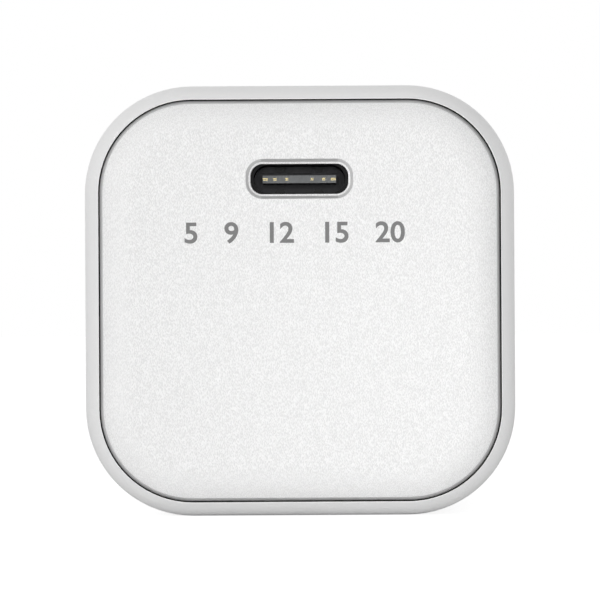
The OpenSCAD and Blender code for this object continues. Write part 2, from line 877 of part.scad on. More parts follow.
module main_board() color("seagreen") in_frame()
  difference() {
    translate([0, 0, board_under])
      linear_extrude(board_t)
        polygon([
          [-tab_w / 2, tab_front], [tab_w / 2, tab_front],
          [tab_w / 2, board_front], [board_w / 2, board_front],
          [board_w / 2, board_rear], [-board_w / 2, board_rear],
          [-board_w / 2, board_front], [-tab_w / 2, board_front]
        ]);
    for (at = all_pins)
      translate([at[0], at[1], board_under - over])
        cylinder(d = lead_hole_d, h = board_t + 2 * over);
    for (side = [-1, 1], depth = leg_at)
      box_at(
        [side * (usb_w / 2 - usb_wall), depth],
        board_under - over,
        [leg_t + 2 * slide_fit, leg_w + 2 * slide_fit, board_t + 2 * over]
      );
    for (side = [-1, 1])
      box_at(
        [side * strip_x, strip_riser + strip_t / 2],
        board_under - over,
        [strip_w + 2 * slide_fit, strip_t + 2 * slide_fit, board_t + 2 * over]
      );
  }

// One half of the transformer's ferrite core: a back, two legs hollowed by the round window, and a round post.
module core_half(up, post_gap) color("#3a3a3c") in_frame()
  translate([core_at[0], core_at[1], core_mid])
    mirror([0, 0, up > 0 ? 0 : 1]) {
      h = core_h / 2;
      difference() {
        translate([-core_w / 2, -core_l / 2, 0])
          cube([core_w, core_l, h]);
        translate([0, 0, -over]) {
          cylinder(r = window_r, h = h - core_back + over);
          translate([-window_w / 2, -core_l / 2 - over, 0])
            cube([window_w, core_l + 2 * over, h - core_back + over]);
        }
      }
      translate([0, 0, post_gap])
        cylinder(r = post_r, h = h - core_back / 2 - post_gap);
    }

module core_upper() core_half(1, 0);

module core_lower() core_half(-1, air_gap);

// Spool on the core's post: a tube between two flanges, with a pin rail along its front and its rear.
module bobbin() color("#26262a") in_frame() {
  difference() {
    union() {
      translate([core_at[0], core_at[1], flange_low])
        cylinder(r = tube_r, h = flange_top - flange_low);
      for (low = [flange_low, flange_top - flange_t])
        translate([core_at[0], core_at[1], low])
          cylinder(r = flange_r, h = flange_t);
      box_at(core_at, flange_top - flange_t, [window_w - 2 * slide_fit, core_l + pin_rail_l, flange_t]);
    }
    translate([core_at[0], core_at[1], flange_low - over])
      cylinder(r = post_r + slide_fit, h = flange_top - flange_low + 2 * over);
  }
  for (side = [-1, 1])
    box_at(
      core_at + [0, side * (core_l + pin_rail_l + slide_fit) / 2],
      flange_top - flange_t,
      [window_w, pin_rail_l - slide_fit, board_under - flange_top + flange_t]
    );
  leads(bobbin_pins, board_under - over);
}

// A layer of the transformer's coil, wound between the bobbin's flanges.
module coil_layer(inner, thick) {
  play = slide_fit;
  translate([core_at[0], core_at[1], flange_low + flange_t + play])
    difference() {
      h = flange_top - flange_low - 2 * (flange_t + play);
      cylinder(r = inner + thick, h = h);
      translate([0, 0, -over])
        cylinder(r = inner, h = h + 2 * over);
    }
}

module primary_winding() color("#b4602e") in_frame()
  coil_layer(tube_r + seat_fit, primary_t);

module winding_tape() color("gold") in_frame()
  coil_layer(tube_r + primary_t + 2 * seat_fit, tape_t);

module secondary_winding() color("#c8763a") in_frame()
  coil_layer(tube_r + primary_t + tape_t + 3 * seat_fit, secondary_t - 5 * seat_fit);

// Round can that hangs from the board, with the beads that its rolled closure leaves near the leads.
module round_capacitor(at, d, l, pins) {
  bead_r = 0.5;
  bead_in = 0.3;
  bead_z = 1.8;
  translate([at[0], at[1], hang_z - l])
    rotate_extrude()
      difference() {
        square([d / 2, l]);
        translate([d / 2 + bead_r - bead_in, l - bead_z])
          circle(bead_r);
      }
  leads(pins, hang_z - over);
}

module bulk_capacitor_front() color("#23262e") in_frame()
  round_capacitor([bulk_x, bulk_y[0]], bulk_d, bulk_l, bulk_pins[0]);

module bulk_capacitor_rear() color("#23262e") in_frame()
  round_capacitor([bulk_x, bulk_y[1]], bulk_d, bulk_l, bulk_pins[1]);

module output_capacitor_left() color("silver") in_frame()
  round_capacitor([output_x[0], output_y], output_d, output_l, output_pins[0]);

module output_capacitor_right() color("silver") in_frame()
  round_capacitor([output_x[1], output_y], output_d, output_l, output_pins[1]);

// Drum core with its coil between the flanges.
module output_inductor() color("#3c3c3e") in_frame() {
  rim_t = 1;
  translate([inductor_at[0], inductor_at[1], hang_z - inductor_l])
    rotate_extrude()
      polygon([
        [0, 0], [inductor_d / 2, 0], [inductor_d / 2, rim_t], [inductor_d / 2 - rim_t / 2, rim_t],
        [inductor_d / 2 - rim_t / 2, inductor_l - rim_t], [inductor_d / 2, inductor_l - rim_t],
        [inductor_d / 2, inductor_l], [0, inductor_l]
      ]);
  leads(inductor_pins, hang_z - over);
}

module line_filter_capacitor() color("#d8b23c") in_frame() {
  box_at(x_cap_at, hang_z - x_cap_h, [x_cap_w, x_cap_l, x_cap_h]);
  leads(x_cap_pins, hang_z - over);
}

// Coated disc that stands on edge near the right-hand wall.
module disc_part(y, pins) {
  edge = disc_t / 4;
  translate([disc_x - disc_t / 2, y, disc_z])
    rotate([0, 90, 0])
      rotate_extrude()
        polygon([
          [0, 0], [disc_d / 2 - edge, 0], [disc_d / 2, edge],
          [disc_d / 2, disc_t - edge], [disc_d / 2 - edge, disc_t], [0, disc_t]
        ]);
  leads(pins, disc_z + 1);
}

module safety_capacitor() color("#2f5fa8") in_frame()
  disc_part(disc_y[0], disc_pins[0]);

module surge_absorber() color("#c8682c") in_frame()
  disc_part(disc_y[1], disc_pins[1]);

// Places a shape about the choke's axis, which runs into the depth.
module at_choke() {
  translate([choke_at[0], choke_at[1], choke_z])
    rotate([-90, 0, 0])
      children();
}

module choke_ring(grow) {
  translate([choke_hole_d / 2 - grow, -choke_t / 2 - grow])
    square([(choke_d - choke_hole_d) / 2 + 2 * grow, choke_t + 2 * grow]);
}

module choke_core() color("#4d6b4f") in_frame()
  at_choke()
    rotate_extrude()
      choke_ring(0);

// Half of the choke's turns, which wrap the ring over most of one side, with its two leads.
module choke_winding(side) color("#b4602e") in_frame() {
  difference() {
    union() {
      at_choke()
        rotate([0, 0, (side > 0 ? 0 : 180) - choke_span / 2])
          rotate_extrude(angle = choke_span)
            choke_ring(wire_t);
      leads(choke_pins[side > 0 ? 1 : 0], choke_z + choke_d / 2 - 1);
    }
    at_choke()
      rotate_extrude()
        choke_ring(seat_fit);
  }
}

module choke_winding_left() choke_winding(-1);

module choke_winding_right() choke_winding(1);

// Slim tube that stands on end under the board in its shrink sleeve, with a dome at its lower end.
module fuse() color("#3b2f2a") in_frame() {
  translate([fuse_at[0], fuse_at[1], hang_z - fuse_l])
    rotate_extrude() {
      translate([0, fuse_d / 2])
        square([fuse_d / 2, fuse_l - fuse_d / 2]);
      translate([0, fuse_d / 2])
        intersection() {
          circle(fuse_d / 2);
          translate([0, -fuse_d / 2])
            square(fuse_d / 2);
        }
    }
  leads(fuse_pins, hang_z - over);
}

// Moulded chip with a pair of flat leads on each side, turned about its middle.
module leaded_chip(at, turn, size, pitch) {
  translate([at[0], at[1], board_top])
    rotate(turn) {
      box_at([0, 0], chip_lift, size);
      for (side = [-1, 1], row = [-1, 1])
        box_at(
          [side * (size[0] + chip_lead[0]) / 2, row * pitch / 2],
          0,
          [chip_lead[0] + chip_lift, chip_lead[1], chip_lead[2]]
        );
    }
}

module bridge_rectifier() color("#1d1d1f") in_frame()
  leaded_chip(bridge_at, 0, bridge_size, 4);

module power_switch() color("#1d1d1f") in_frame()
  box_at(switch_at, board_top, switch_size);

module optocoupler() color("#e8e6dc") in_frame()
  leaded_chip(opto_at, 90, opto_size, 2.54);

module synchronous_rectifier() color("#1d1d1f") in_frame()
  box_at(rectifier_at, board_top, rectifier_size);

module port_controller() color("#1d1d1f") in_frame()
  box_at(controller_at, board_top, controller_size);

module thermal_pad(at, size) color("lightsteelblue") in_frame()
  box_at(
    at,
    board_top + size[2],
    [size[0] + 2 * pad_margin, size[1] + 2 * pad_margin, spreader_under - board_top - size[2]]
  );

module thermal_pad_primary() thermal_pad(switch_at, switch_size);

module thermal_pad_secondary() thermal_pad(rectifier_at, rectifier_size);

// Soft block that passes the transformer's heat to the housing's floor.
module thermal_pad_core() color("lightsteelblue") in_frame()
  translate([core_pad_x[0], core_at[1] - core_pad_l / 2, floor_z])
    cube([core_pad_x[1] - core_pad_x[0], core_pad_l, core_bottom - floor_z]);

// Bent sheet that spreads the chips' heat and stands on the board with its two sides.
module heat_spreader() color("gainsboro") in_frame()
  intersection() {
    along(spreader_front, board_top)
      difference() {
        rounded_prism(spreader_w, 2 * spreader_h, spreader_bend, 0, spreader_l);
        rounded_prism(
          spreader_w - 2 * spreader_t, 2 * (spreader_h - spreader_t), spreader_bend - spreader_t,
          -over, spreader_l + 2 * over
        );
      }
    translate([-body_w / 2, 0, board_top])
      cube([body_w, body_d, spreader_h + over]);
  }

housing();
front_cover();
usb_shell();
usb_insulator();
usb_mid_plate();
usb_contacts();
usb_ground_springs();
pin_left();
pin_right();
sleeve_left();
sleeve_right();
pin_carrier();
spring_contact_left();
spring_contact_right();
insulating_liner();
main_board();
core_upper();
core_lower();
bobbin();
primary_winding();
winding_tape();
secondary_winding();
bulk_capacitor_front();
bulk_capacitor_rear();
output_capacitor_left();
output_capacitor_right();
output_inductor();
line_filter_capacitor();
safety_capacitor();
surge_absorber();
choke_core();
choke_winding_left();
choke_winding_right();
fuse();
bridge_rectifier();
power_switch();
optocoupler();
synchronous_rectifier();
port_controller();
thermal_pad_primary();
thermal_pad_secondary();
thermal_pad_core();
heat_spreader();
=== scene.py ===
import math
from collections import Counter

import bpy
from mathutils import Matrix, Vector


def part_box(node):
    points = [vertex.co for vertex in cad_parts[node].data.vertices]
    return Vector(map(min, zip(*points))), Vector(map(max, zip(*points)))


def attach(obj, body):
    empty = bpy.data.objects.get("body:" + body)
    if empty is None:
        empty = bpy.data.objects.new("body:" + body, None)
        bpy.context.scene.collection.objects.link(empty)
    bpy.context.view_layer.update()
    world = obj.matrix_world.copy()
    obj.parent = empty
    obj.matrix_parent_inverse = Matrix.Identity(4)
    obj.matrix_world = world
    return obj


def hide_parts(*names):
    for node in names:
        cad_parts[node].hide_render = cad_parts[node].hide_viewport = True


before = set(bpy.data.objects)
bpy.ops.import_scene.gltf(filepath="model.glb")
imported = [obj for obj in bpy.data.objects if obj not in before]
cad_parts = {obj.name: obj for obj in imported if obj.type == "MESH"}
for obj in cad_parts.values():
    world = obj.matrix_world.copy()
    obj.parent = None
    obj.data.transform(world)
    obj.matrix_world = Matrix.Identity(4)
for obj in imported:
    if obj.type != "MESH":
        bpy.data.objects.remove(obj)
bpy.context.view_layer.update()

# Housing: one injection moulding in white polycarbonate, with the stem of the plug in one piece with it. Its tool was
# finely blasted, so the walls have a faint even texture and a soft sheen that lets the light roll round the corners.
# The grit is drawn a few times coarser than it is, so that it shows.
mm = 0.001
HOUSING_WHITE = "#f1f1f1"
BLAST_GRIT = 0.2 * mm
BLAST_DEPTH = 0.05 * mm
SHEEN_PATCH = 6 * mm


def linear(hex_colour):
    """Turns an sRGB hex colour to linear red, green, blue and alpha."""
    parts = [int(hex_colour[i:i + 2], 16) / 255 for i in (1, 3, 5)]
    return [c / 12.92 if c <= 0.04045 else ((c + 0.055) / 1.055) ** 2.4 for c in parts] + [1.0]


def add_node(tree, kind, settings=None, links=None):
    """Adds a node, sets its inputs or its own options by name, and joins its inputs to other nodes' outputs."""
    node = tree.nodes.new("ShaderNode" + kind)
    for name, value in (settings or {}).items():
        if isinstance(name, int) or name in node.inputs:
            node.inputs[name].default_value = value
        else:
            setattr(node, name, value)
    for name, (source, output) in (links or {}).items():
        tree.links.new(source.outputs[output], node.inputs[name])
    return node


def start_material(name, colour, roughness, ior=1.5, metallic=0.0):
    """Starts a material with its colour, roughness, IOR and metallic on the shader's own sockets."""
    material = bpy.data.materials.new(name)
    material.use_nodes = True
    shader = material.node_tree.nodes["Principled BSDF"]
    shader.inputs["Base Color"].default_value = linear(colour)
    shader.inputs["Roughness"].default_value = roughness
    shader.inputs["IOR"].default_value = ior
    shader.inputs["Metallic"].default_value = metallic
    return material, material.node_tree, shader


def dress(material, *nodes):
    """Gives CAD nodes a material in their own slots."""
    for name in nodes:
        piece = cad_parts[name]
        for slot in piece.material_slots:
            slot.material = material


housing_plastic, tree, shader = start_material("Polycarbonate_white_blasted", HOUSING_WHITE, 0.42, 1.585)
place = add_node(tree, "TexCoord")
grit = add_node(tree, "TexNoise", {"Scale": 1 / BLAST_GRIT, "Detail": 2.0}, {"Vector": (place, "Object")})
relief = add_node(tree, "Bump", {"Strength": 0.6, "Distance": BLAST_DEPTH}, {"Height": (grit, 0)})
tree.links.new(relief.outputs[0], shader.inputs["Normal"])
sheen = add_node(tree, "TexNoise", {"Scale": 1 / SHEEN_PATCH, "Detail": 3.0}, {"Vector": (place, "Object")})
rough = add_node(tree, "MapRange", {"To Min": 0.38, "To Max": 0.46}, {"Value": (sheen, 0)})
tree.links.new(rough.outputs[0], shader.inputs["Roughness"])
dress(housing_plastic, "housing")

# Mains pins: turned from brass rod, nickel plated and held in the stem's wall by a collar. The tool leaves fine rings
# under the plating, drawn a little coarser than they are, which stretch the reflections into thin bands. A wave node
# of scale 1 has about one ring to each RING_STEP.
TURNING_PITCH = 0.16 * mm
RING_STEP = 0.31
WEAR_PATCH = 1.5 * mm
nickel, tree, shader = start_material("Brass_nickel_plated", "#d6d3cc", 0.26, metallic=1.0)
place = add_node(tree, "TexCoord")
rings = add_node(
    tree, "TexWave", {"bands_direction": "Y", "Scale": RING_STEP / TURNING_PITCH, "Distortion": 0.6, "Detail": 2.0},
    {"Vector": (place, "Object")})
relief = add_node(tree, "Bump", {"Strength": 0.35, "Distance": 0.006 * mm}, {"Height": (rings, 0)})
tree.links.new(relief.outputs[0], shader.inputs["Normal"])
wear = add_node(tree, "TexNoise", {"Scale": 1 / WEAR_PATCH, "Detail": 4.0}, {"Vector": (place, "Object")})
rough = add_node(tree, "MapRange", {"To Min": 0.2, "To Max": 0.36}, {"Value": (wear, 0)})
tree.links.new(rough.outputs[0], shader.inputs["Roughness"])
dress(nickel, "pin_left", "pin_right")

# Sleeves: black polyamide tubes moulded over the roots of the pins, so that no live metal is bare when the plug is
# half out. Their tool was polished along its length, which leaves a satin shine with faint lengthwise lines, drawn
# coarser than they are.
SLEEVE_LINE = 0.3 * mm
polyamide, tree, shader = start_material("Polyamide_black_satin", "#1f1f21", 0.38, 1.53)
place = add_node(tree, "TexCoord")
along = add_node(tree, "Mapping", {"Scale": (1.0, 0.08, 1.0)}, {"Vector": (place, "Object")})
lines = add_node(tree, "TexNoise", {"Scale": 1 / SLEEVE_LINE, "Detail": 3.0}, {"Vector": (along, 0)})
relief = add_node(tree, "Bump", {"Strength": 0.4, "Distance": 0.01 * mm}, {"Height": (lines, 0)})
tree.links.new(relief.outputs[0], shader.inputs["Normal"])
dress(polyamide, "sleeve_left", "sleeve_right")

# Pin carrier: a block of natural polyamide with short glass fibres, moulded in one shot and pressed into the stem. The
# fibres show as fine pale streaks that follow the flow.
FIBRE = 0.35 * mm
carrier_plastic, tree, shader = start_material("Polyamide_glass_filled", "#dedbcf", 0.55, 1.53)
place = add_node(tree, "TexCoord")
flow = add_node(tree, "Mapping", {"Scale": (1.0, 0.2, 1.0)}, {"Vector": (place, "Object")})
fibres = add_node(tree, "TexNoise", {"Scale": 1 / FIBRE, "Detail": 4.0}, {"Vector": (flow, 0)})
colour = add_node(
    tree, "Mix", {"data_type": "RGBA", 6: linear("#cfcaba"), 7: linear("#ebe8de")}, {0: (fibres, 0)})
tree.links.new(colour.outputs[2], shader.inputs["Base Color"])
relief = add_node(tree, "Bump", {"Strength": 0.5, "Distance": 0.015 * mm}, {"Height": (fibres, 0)})
tree.links.new(relief.outputs[0], shader.inputs["Normal"])
dress(carrier_plastic, "pin_carrier")

# Spring contacts: strips of rolled phosphor bronze, stamped and bent. Each is riveted to the tail of one pin and
# stands up through the board. Rolling leaves fine lines along the strip, drawn coarser than they are so that they show.
ROLL_LINE = 0.12 * mm
bronze, tree, shader = start_material("Phosphor_bronze_rolled", "#c58f55", 0.3, metallic=1.0)
place = add_node(tree, "TexCoord")
drawn = add_node(tree, "Mapping", {"Scale": (1.0, 0.04, 0.04)}, {"Vector": (place, "Object")})
lines = add_node(tree, "TexNoise", {"Scale": 1 / ROLL_LINE, "Detail": 3.0}, {"Vector": (drawn, 0)})
rough = add_node(tree, "MapRange", {"To Min": 0.22, "To Max": 0.42}, {"Value": (lines, 0)})
tree.links.new(rough.outputs[0], shader.inputs["Roughness"])
relief = add_node(tree, "Bump", {"Strength": 0.4, "Distance": 0.004 * mm}, {"Height": (lines, 0)})
tree.links.new(relief.outputs[0], shader.inputs["Normal"])
dress(bronze, "spring_contact_left", "spring_contact_right")

# Insulating liner: a wrap of thin polycarbonate film inside the housing, between its wall and the parts under the
# board. It is cut from a roll, glossy and slightly cloudy, and its surface waves a little.
FILM_WAVE = 7 * mm
film, tree, shader = start_material("Polycarbonate_film_cloudy", "#e9e3cc", 0.22, 1.585)
shader.inputs["Transmission Weight"].default_value = 0.3
place = add_node(tree, "TexCoord")
waves = add_node(tree, "TexNoise", {"Scale": 1 / FILM_WAVE, "Detail": 1.0}, {"Vector": (place, "Object")})
relief = add_node(tree, "Bump", {"Strength": 0.6, "Distance": 0.3 * mm}, {"Height": (waves, 0)})
tree.links.new(relief.outputs[0], shader.inputs["Normal"])
dress(film, "insulating_liner")

# Main board: glass-fibre laminate under a green solder mask. The copper below shows through as paler tracks, and the
# weave of the glass gives the mask a fine square texture.
TRACK_PITCH = 1.6 * mm
WEAVE_PITCH = 0.45 * mm
laminate, tree, shader = start_material("Glass_epoxy_green_mask", "#1f5a37", 0.35, 1.55)
place = add_node(tree, "TexCoord")
tracks = add_node(
    tree, "TexBrick",
    {"Scale": 1 / TRACK_PITCH, "Mortar Size": 0.09, "Brick Width": 2.6, "Row Height": 0.9,
     "Color1": linear("#1c5233"), "Color2": linear("#24653d"), "Mortar": linear("#163f29")},
    {"Vector": (place, "Object")})
tree.links.new(tracks.outputs["Color"], shader.inputs["Base Color"])
weave = add_node(tree, "TexChecker", {"Scale": 1 / WEAVE_PITCH}, {"Vector": (place, "Object")})
copper = add_node(tree, "Math", {"operation": "MULTIPLY_ADD", 1: 0.15}, {0: (weave, "Fac"), 2: (tracks, "Fac")})
relief = add_node(tree, "Bump", {"Strength": 0.5, "Distance": -0.03 * mm}, {"Height": (copper, 0)})
tree.links.new(relief.outputs[0], shader.inputs["Normal"])
dress(laminate, "main_board")

# Ferrite: the transformer's two core halves and the inductor's drum, pressed from powder and sintered. They are dark
# grey and matt, with fine pale specks and pits.
FERRITE_SPECK = 0.25 * mm
ferrite, tree, shader = start_material("Ferrite_sintered", "#38373a", 0.62, 1.7)
place = add_node(tree, "TexCoord")
specks = add_node(tree, "TexNoise", {"Scale": 1 / FERRITE_SPECK, "Detail": 6.0}, {"Vector": (place, "Object")})
colour = add_node(tree, "ValToRGB", {}, {"Fac": (specks, 0)})
colour.color_ramp.elements[0].position = 0.35
colour.color_ramp.elements[0].color = linear("#2b2a2d")
colour.color_ramp.elements[1].position = 0.75
colour.color_ramp.elements[1].color = linear("#5a5a5e")
tree.links.new(colour.outputs[0], shader.inputs["Base Color"])
relief = add_node(tree, "Bump", {"Strength": 0.6, "Distance": 0.03 * mm}, {"Height": (specks, 0)})
tree.links.new(relief.outputs[0], shader.inputs["Normal"])
dress(ferrite, "core_upper", "core_lower")

# Bobbin: a spool in black phenolic, which keeps its shape in the solder bath. It is dull, with a faint brown mottle
# from its wood-flour filler.
MOTTLE = 0.5 * mm
phenolic, tree, shader = start_material("Phenolic_black_moulded", "#232224", 0.5, 1.6)
place = add_node(tree, "TexCoord")
mottle = add_node(tree, "TexNoise", {"Scale": 1 / MOTTLE, "Detail": 5.0}, {"Vector": (place, "Object")})
colour = add_node(tree, "Mix", {"data_type": "RGBA", 6: linear("#1b1a1c"), 7: linear("#302b2a")}, {0: (mottle, 0)})
tree.links.new(colour.outputs[2], shader.inputs["Base Color"])
dress(phenolic, "bobbin")

# Transformer windings: enamelled copper wire for the primary, a wrap of yellow polyester tape over it, and thicker
# triple-insulated wire outside. The turns lie side by side and show as even ridges round the coil. A wave node of
# scale 1 has one ridge to each RIDGE_STEP.
PRIMARY_WIRE = 0.35 * mm
SECONDARY_WIRE = 0.8 * mm
TAPE_LAP = 2.2 * mm
RIDGE_STEP = 0.314
for node, name, colour, roughness, metallic, ridge, depth in [
    ("primary_winding", "Copper_wire_enamelled", "#b06030", 0.3, 1.0, PRIMARY_WIRE, 0.12 * mm),
    ("secondary_winding", "Copper_wire_triple_insulated", "#c98a3c", 0.35, 0.3, SECONDARY_WIRE, 0.25 * mm),
    ("winding_tape", "Polyester_tape_yellow", "#d9b13a", 0.25, 0.0, TAPE_LAP, 0.04 * mm),
]:
    wound, tree, shader = start_material(name, colour, roughness, metallic=metallic)
    place = add_node(tree, "TexCoord")
    turns = add_node(
        tree, "TexWave", {"bands_direction": "Z", "Scale": RIDGE_STEP / ridge, "Distortion": 0.15},
        {"Vector": (place, "Object")})
    relief = add_node(tree, "Bump", {"Strength": 0.9, "Distance": depth}, {"Height": (turns, 0)})
    tree.links.new(relief.outputs[0], shader.inputs["Normal"])
    dress(wound, node)

# Bulk capacitors: aluminium cans in a dark shrink sleeve with a pale stripe along the negative side. The sleeve ends
# just short of the bare can's end. They hang from the board by tinned leads.
body_low, body_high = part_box("housing")
MIDDLE_Z = (body_low.z + body_high.z) / 2
BOARD_UNDER = MIDDLE_Z + 7.77 * mm
LEAD_SHOWN = 0.3 * mm
HANG_Z = BOARD_UNDER - LEAD_SHOWN
STRIPE_IN = 0.9 * mm
CAN_END = 0.02 * mm
CRINKLE = 2.5 * mm
SLEEVE_DARK = "#20242d"


def tin_leads(tree, shader, bottom):
    """Turns a part's leads to tinned copper above a height, in the same material as its body."""
    place = add_node(tree, "TexCoord")
    parts = add_node(tree, "SeparateXYZ", {}, {0: (place, "Object")})
    lead = add_node(tree, "Math", {"operation": "GREATER_THAN", 1: bottom}, {0: (parts, 2)})
    colour = add_node(
        tree, "Mix", {"data_type": "RGBA", 6: shader.inputs["Base Color"].default_value, 7: linear("#c9cacb")},
        {0: (lead, 0)})
    for link in list(shader.inputs["Base Color"].links):
        tree.links.new(link.from_socket, colour.inputs[6])
    tree.links.new(colour.outputs[2], shader.inputs["Base Color"])
    tree.links.new(lead.outputs[0], shader.inputs["Metallic"])


can_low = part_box("bulk_capacitor_front")[0]
sleeve_film, tree, shader = start_material("Aluminium_can_in_dark_sleeve", SLEEVE_DARK, 0.3, 1.5)
place = add_node(tree, "TexCoord")
parts = add_node(tree, "SeparateXYZ", {}, {0: (place, "Object")})
stripe = add_node(tree, "Math", {"operation": "LESS_THAN", 1: can_low.x + STRIPE_IN}, {0: (parts, 0)})
bare = add_node(tree, "Math", {"operation": "LESS_THAN", 1: can_low.z + CAN_END}, {0: (parts, 2)})
pale = add_node(tree, "Math", {"operation": "MAXIMUM"}, {0: (stripe, 0), 1: (bare, 0)})
colour = add_node(tree, "Mix", {"data_type": "RGBA", 6: linear(SLEEVE_DARK), 7: linear("#b9bcc2")}, {0: (pale, 0)})
tree.links.new(colour.outputs[2], shader.inputs["Base Color"])
crinkle = add_node(tree, "TexNoise", {"Scale": 1 / CRINKLE, "Detail": 2.0}, {"Vector": (place, "Object")})
relief = add_node(tree, "Bump", {"Strength": 0.3, "Distance": 0.1 * mm}, {"Height": (crinkle, 0)})
tree.links.new(relief.outputs[0], shader.inputs["Normal"])
tin_leads(tree, shader, HANG_Z)
dress(sleeve_film, "bulk_capacitor_front", "bulk_capacitor_rear")

# Output capacitors: polymer types in bare, deep-drawn aluminium cans. Drawing leaves fine lines along the can, shown
# coarser than they are, and the closed end carries a dark half-moon of ink on the negative side.
CAN_LINE = 0.15 * mm
MOON_DEEP = 2.2 * mm
CAN_SILVER = "#c6c8ca"
can_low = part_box("output_capacitor_left")[0]
bare_can, tree, shader = start_material("Aluminium_can_drawn", CAN_SILVER, 0.28, metallic=1.0)
place = add_node(tree, "TexCoord")
drawn = add_node(tree, "Mapping", {"Scale": (1.0, 1.0, 0.05)}, {"Vector": (place, "Object")})
lines = add_node(tree, "TexNoise", {"Scale": 1 / CAN_LINE, "Detail": 2.0}, {"Vector": (drawn, 0)})
rough = add_node(tree, "MapRange", {"To Min": 0.2, "To Max": 0.38}, {"Value": (lines, 0)})
tree.links.new(rough.outputs[0], shader.inputs["Roughness"])
parts = add_node(tree, "SeparateXYZ", {}, {0: (place, "Object")})
end = add_node(tree, "Math", {"operation": "LESS_THAN", 1: can_low.z + CAN_END}, {0: (parts, 2)})
front = add_node(tree, "Math", {"operation": "LESS_THAN", 1: can_low.y + MOON_DEEP}, {0: (parts, 1)})
moon = add_node(tree, "Math", {"operation": "MULTIPLY"}, {0: (end, 0), 1: (front, 0)})
colour = add_node(tree, "Mix", {"data_type": "RGBA", 6: linear(CAN_SILVER), 7: linear("#2b3350")}, {0: (moon, 0)})
tree.links.new(colour.outputs[2], shader.inputs["Base Color"])
dress(bare_can, "output_capacitor_left", "output_capacitor_right")

# Output inductor: a ferrite drum with its wire lacquered in place, hung from the board by two tinned leads. The
# lacquer gives the dark, pitted ferrite a satin shine.
drum, tree, shader = start_material("Ferrite_drum_lacquered", "#3a393c", 0.4, 1.6)
place = add_node(tree, "TexCoord")
specks = add_node(tree, "TexNoise", {"Scale": 1 / FERRITE_SPECK, "Detail": 5.0}, {"Vector": (place, "Object")})
relief = add_node(tree, "Bump", {"Strength": 0.5, "Distance": 0.03 * mm}, {"Height": (specks, 0)})
tree.links.new(relief.outputs[0], shader.inputs["Normal"])
tin_leads(tree, shader, HANG_Z)
dress(drum, "output_inductor")

# Line filter capacitor: a film coil potted in a moulded yellow box, hung from the board by two tinned leads. The box
# is satin and very slightly pitted, as a plain spark-eroded tool leaves it.
BOX_PIT = 0.3 * mm
box_plastic, tree, shader = start_material("Polybutylene_box_yellow", "#d5a93c", 0.4, 1.55)
place = add_node(tree, "TexCoord")
pits = add_node(tree, "TexNoise", {"Scale": 1 / BOX_PIT, "Detail": 3.0}, {"Vector": (place, "Object")})
relief = add_node(tree, "Bump", {"Strength": 0.4, "Distance": 0.02 * mm}, {"Height": (pits, 0)})
tree.links.new(relief.outputs[0], shader.inputs["Normal"])
tin_leads(tree, shader, HANG_Z)
dress(box_plastic, "line_filter_capacitor")

# Safety capacitor and surge absorber: fired ceramic discs dipped in epoxy powder, one blue and one orange. The melted
# powder leaves a glossy skin with a soft orange peel.
DIP_PEEL = 0.9 * mm
DISC_LEAD = 2.6 * mm
for node, name, colour in [
    ("safety_capacitor", "Epoxy_dipped_blue", "#2c58a0"),
    ("surge_absorber", "Epoxy_dipped_orange", "#c4642a"),
]:
    dipped, tree, shader = start_material(name, colour, 0.28, 1.55)
    place = add_node(tree, "TexCoord")
    peel = add_node(tree, "TexNoise", {"Scale": 1 / DIP_PEEL, "Detail": 2.0}, {"Vector": (place, "Object")})
    relief = add_node(tree, "Bump", {"Strength": 0.5, "Distance": 0.08 * mm}, {"Height": (peel, 0)})
    tree.links.new(relief.outputs[0], shader.inputs["Normal"])
    tin_leads(tree, shader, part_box(node)[1].z - DISC_LEAD)
    dress(dipped, node)

# Choke: a ferrite ring in a green epoxy coat, wound on both sides with enamelled copper. The turns run round the
# ring's section, so their ridges stand like spokes about its axis.
CHOKE_TURNS = 40
COAT_PEEL = 0.6 * mm
choke_low, choke_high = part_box("choke_core")
choke_middle = (choke_low + choke_high) / 2
coat, tree, shader = start_material("Epoxy_coated_ferrite_green", "#47664a", 0.4, 1.55)
place = add_node(tree, "TexCoord")
peel = add_node(tree, "TexNoise", {"Scale": 1 / COAT_PEEL, "Detail": 2.0}, {"Vector": (place, "Object")})
relief = add_node(tree, "Bump", {"Strength": 0.4, "Distance": 0.05 * mm}, {"Height": (peel, 0)})
tree.links.new(relief.outputs[0], shader.inputs["Normal"])
dress(coat, "choke_core")
copper_turns, tree, shader = start_material("Copper_wire_enamelled_spokes", "#b4602c", 0.3, metallic=1.0)
place = add_node(tree, "TexCoord")
centred = add_node(
    tree, "Mapping", {"vector_type": "TEXTURE", "Location": choke_middle, "Rotation": (math.pi / 2, 0, 0)},
    {"Vector": (place, "Object")})
around = add_node(tree, "TexGradient", {"gradient_type": "RADIAL"}, {"Vector": (centred, 0)})
phase = add_node(tree, "Math", {"operation": "MULTIPLY", 1: 2 * math.pi * CHOKE_TURNS}, {0: (around, "Fac")})
turns = add_node(tree, "Math", {"operation": "SINE"}, {0: (phase, 0)})
relief = add_node(tree, "Bump", {"Strength": 0.8, "Distance": 0.08 * mm}, {"Height": (turns, 0)})
tree.links.new(relief.outputs[0], shader.inputs["Normal"])
dress(copper_turns, "choke_winding_left", "choke_winding_right")

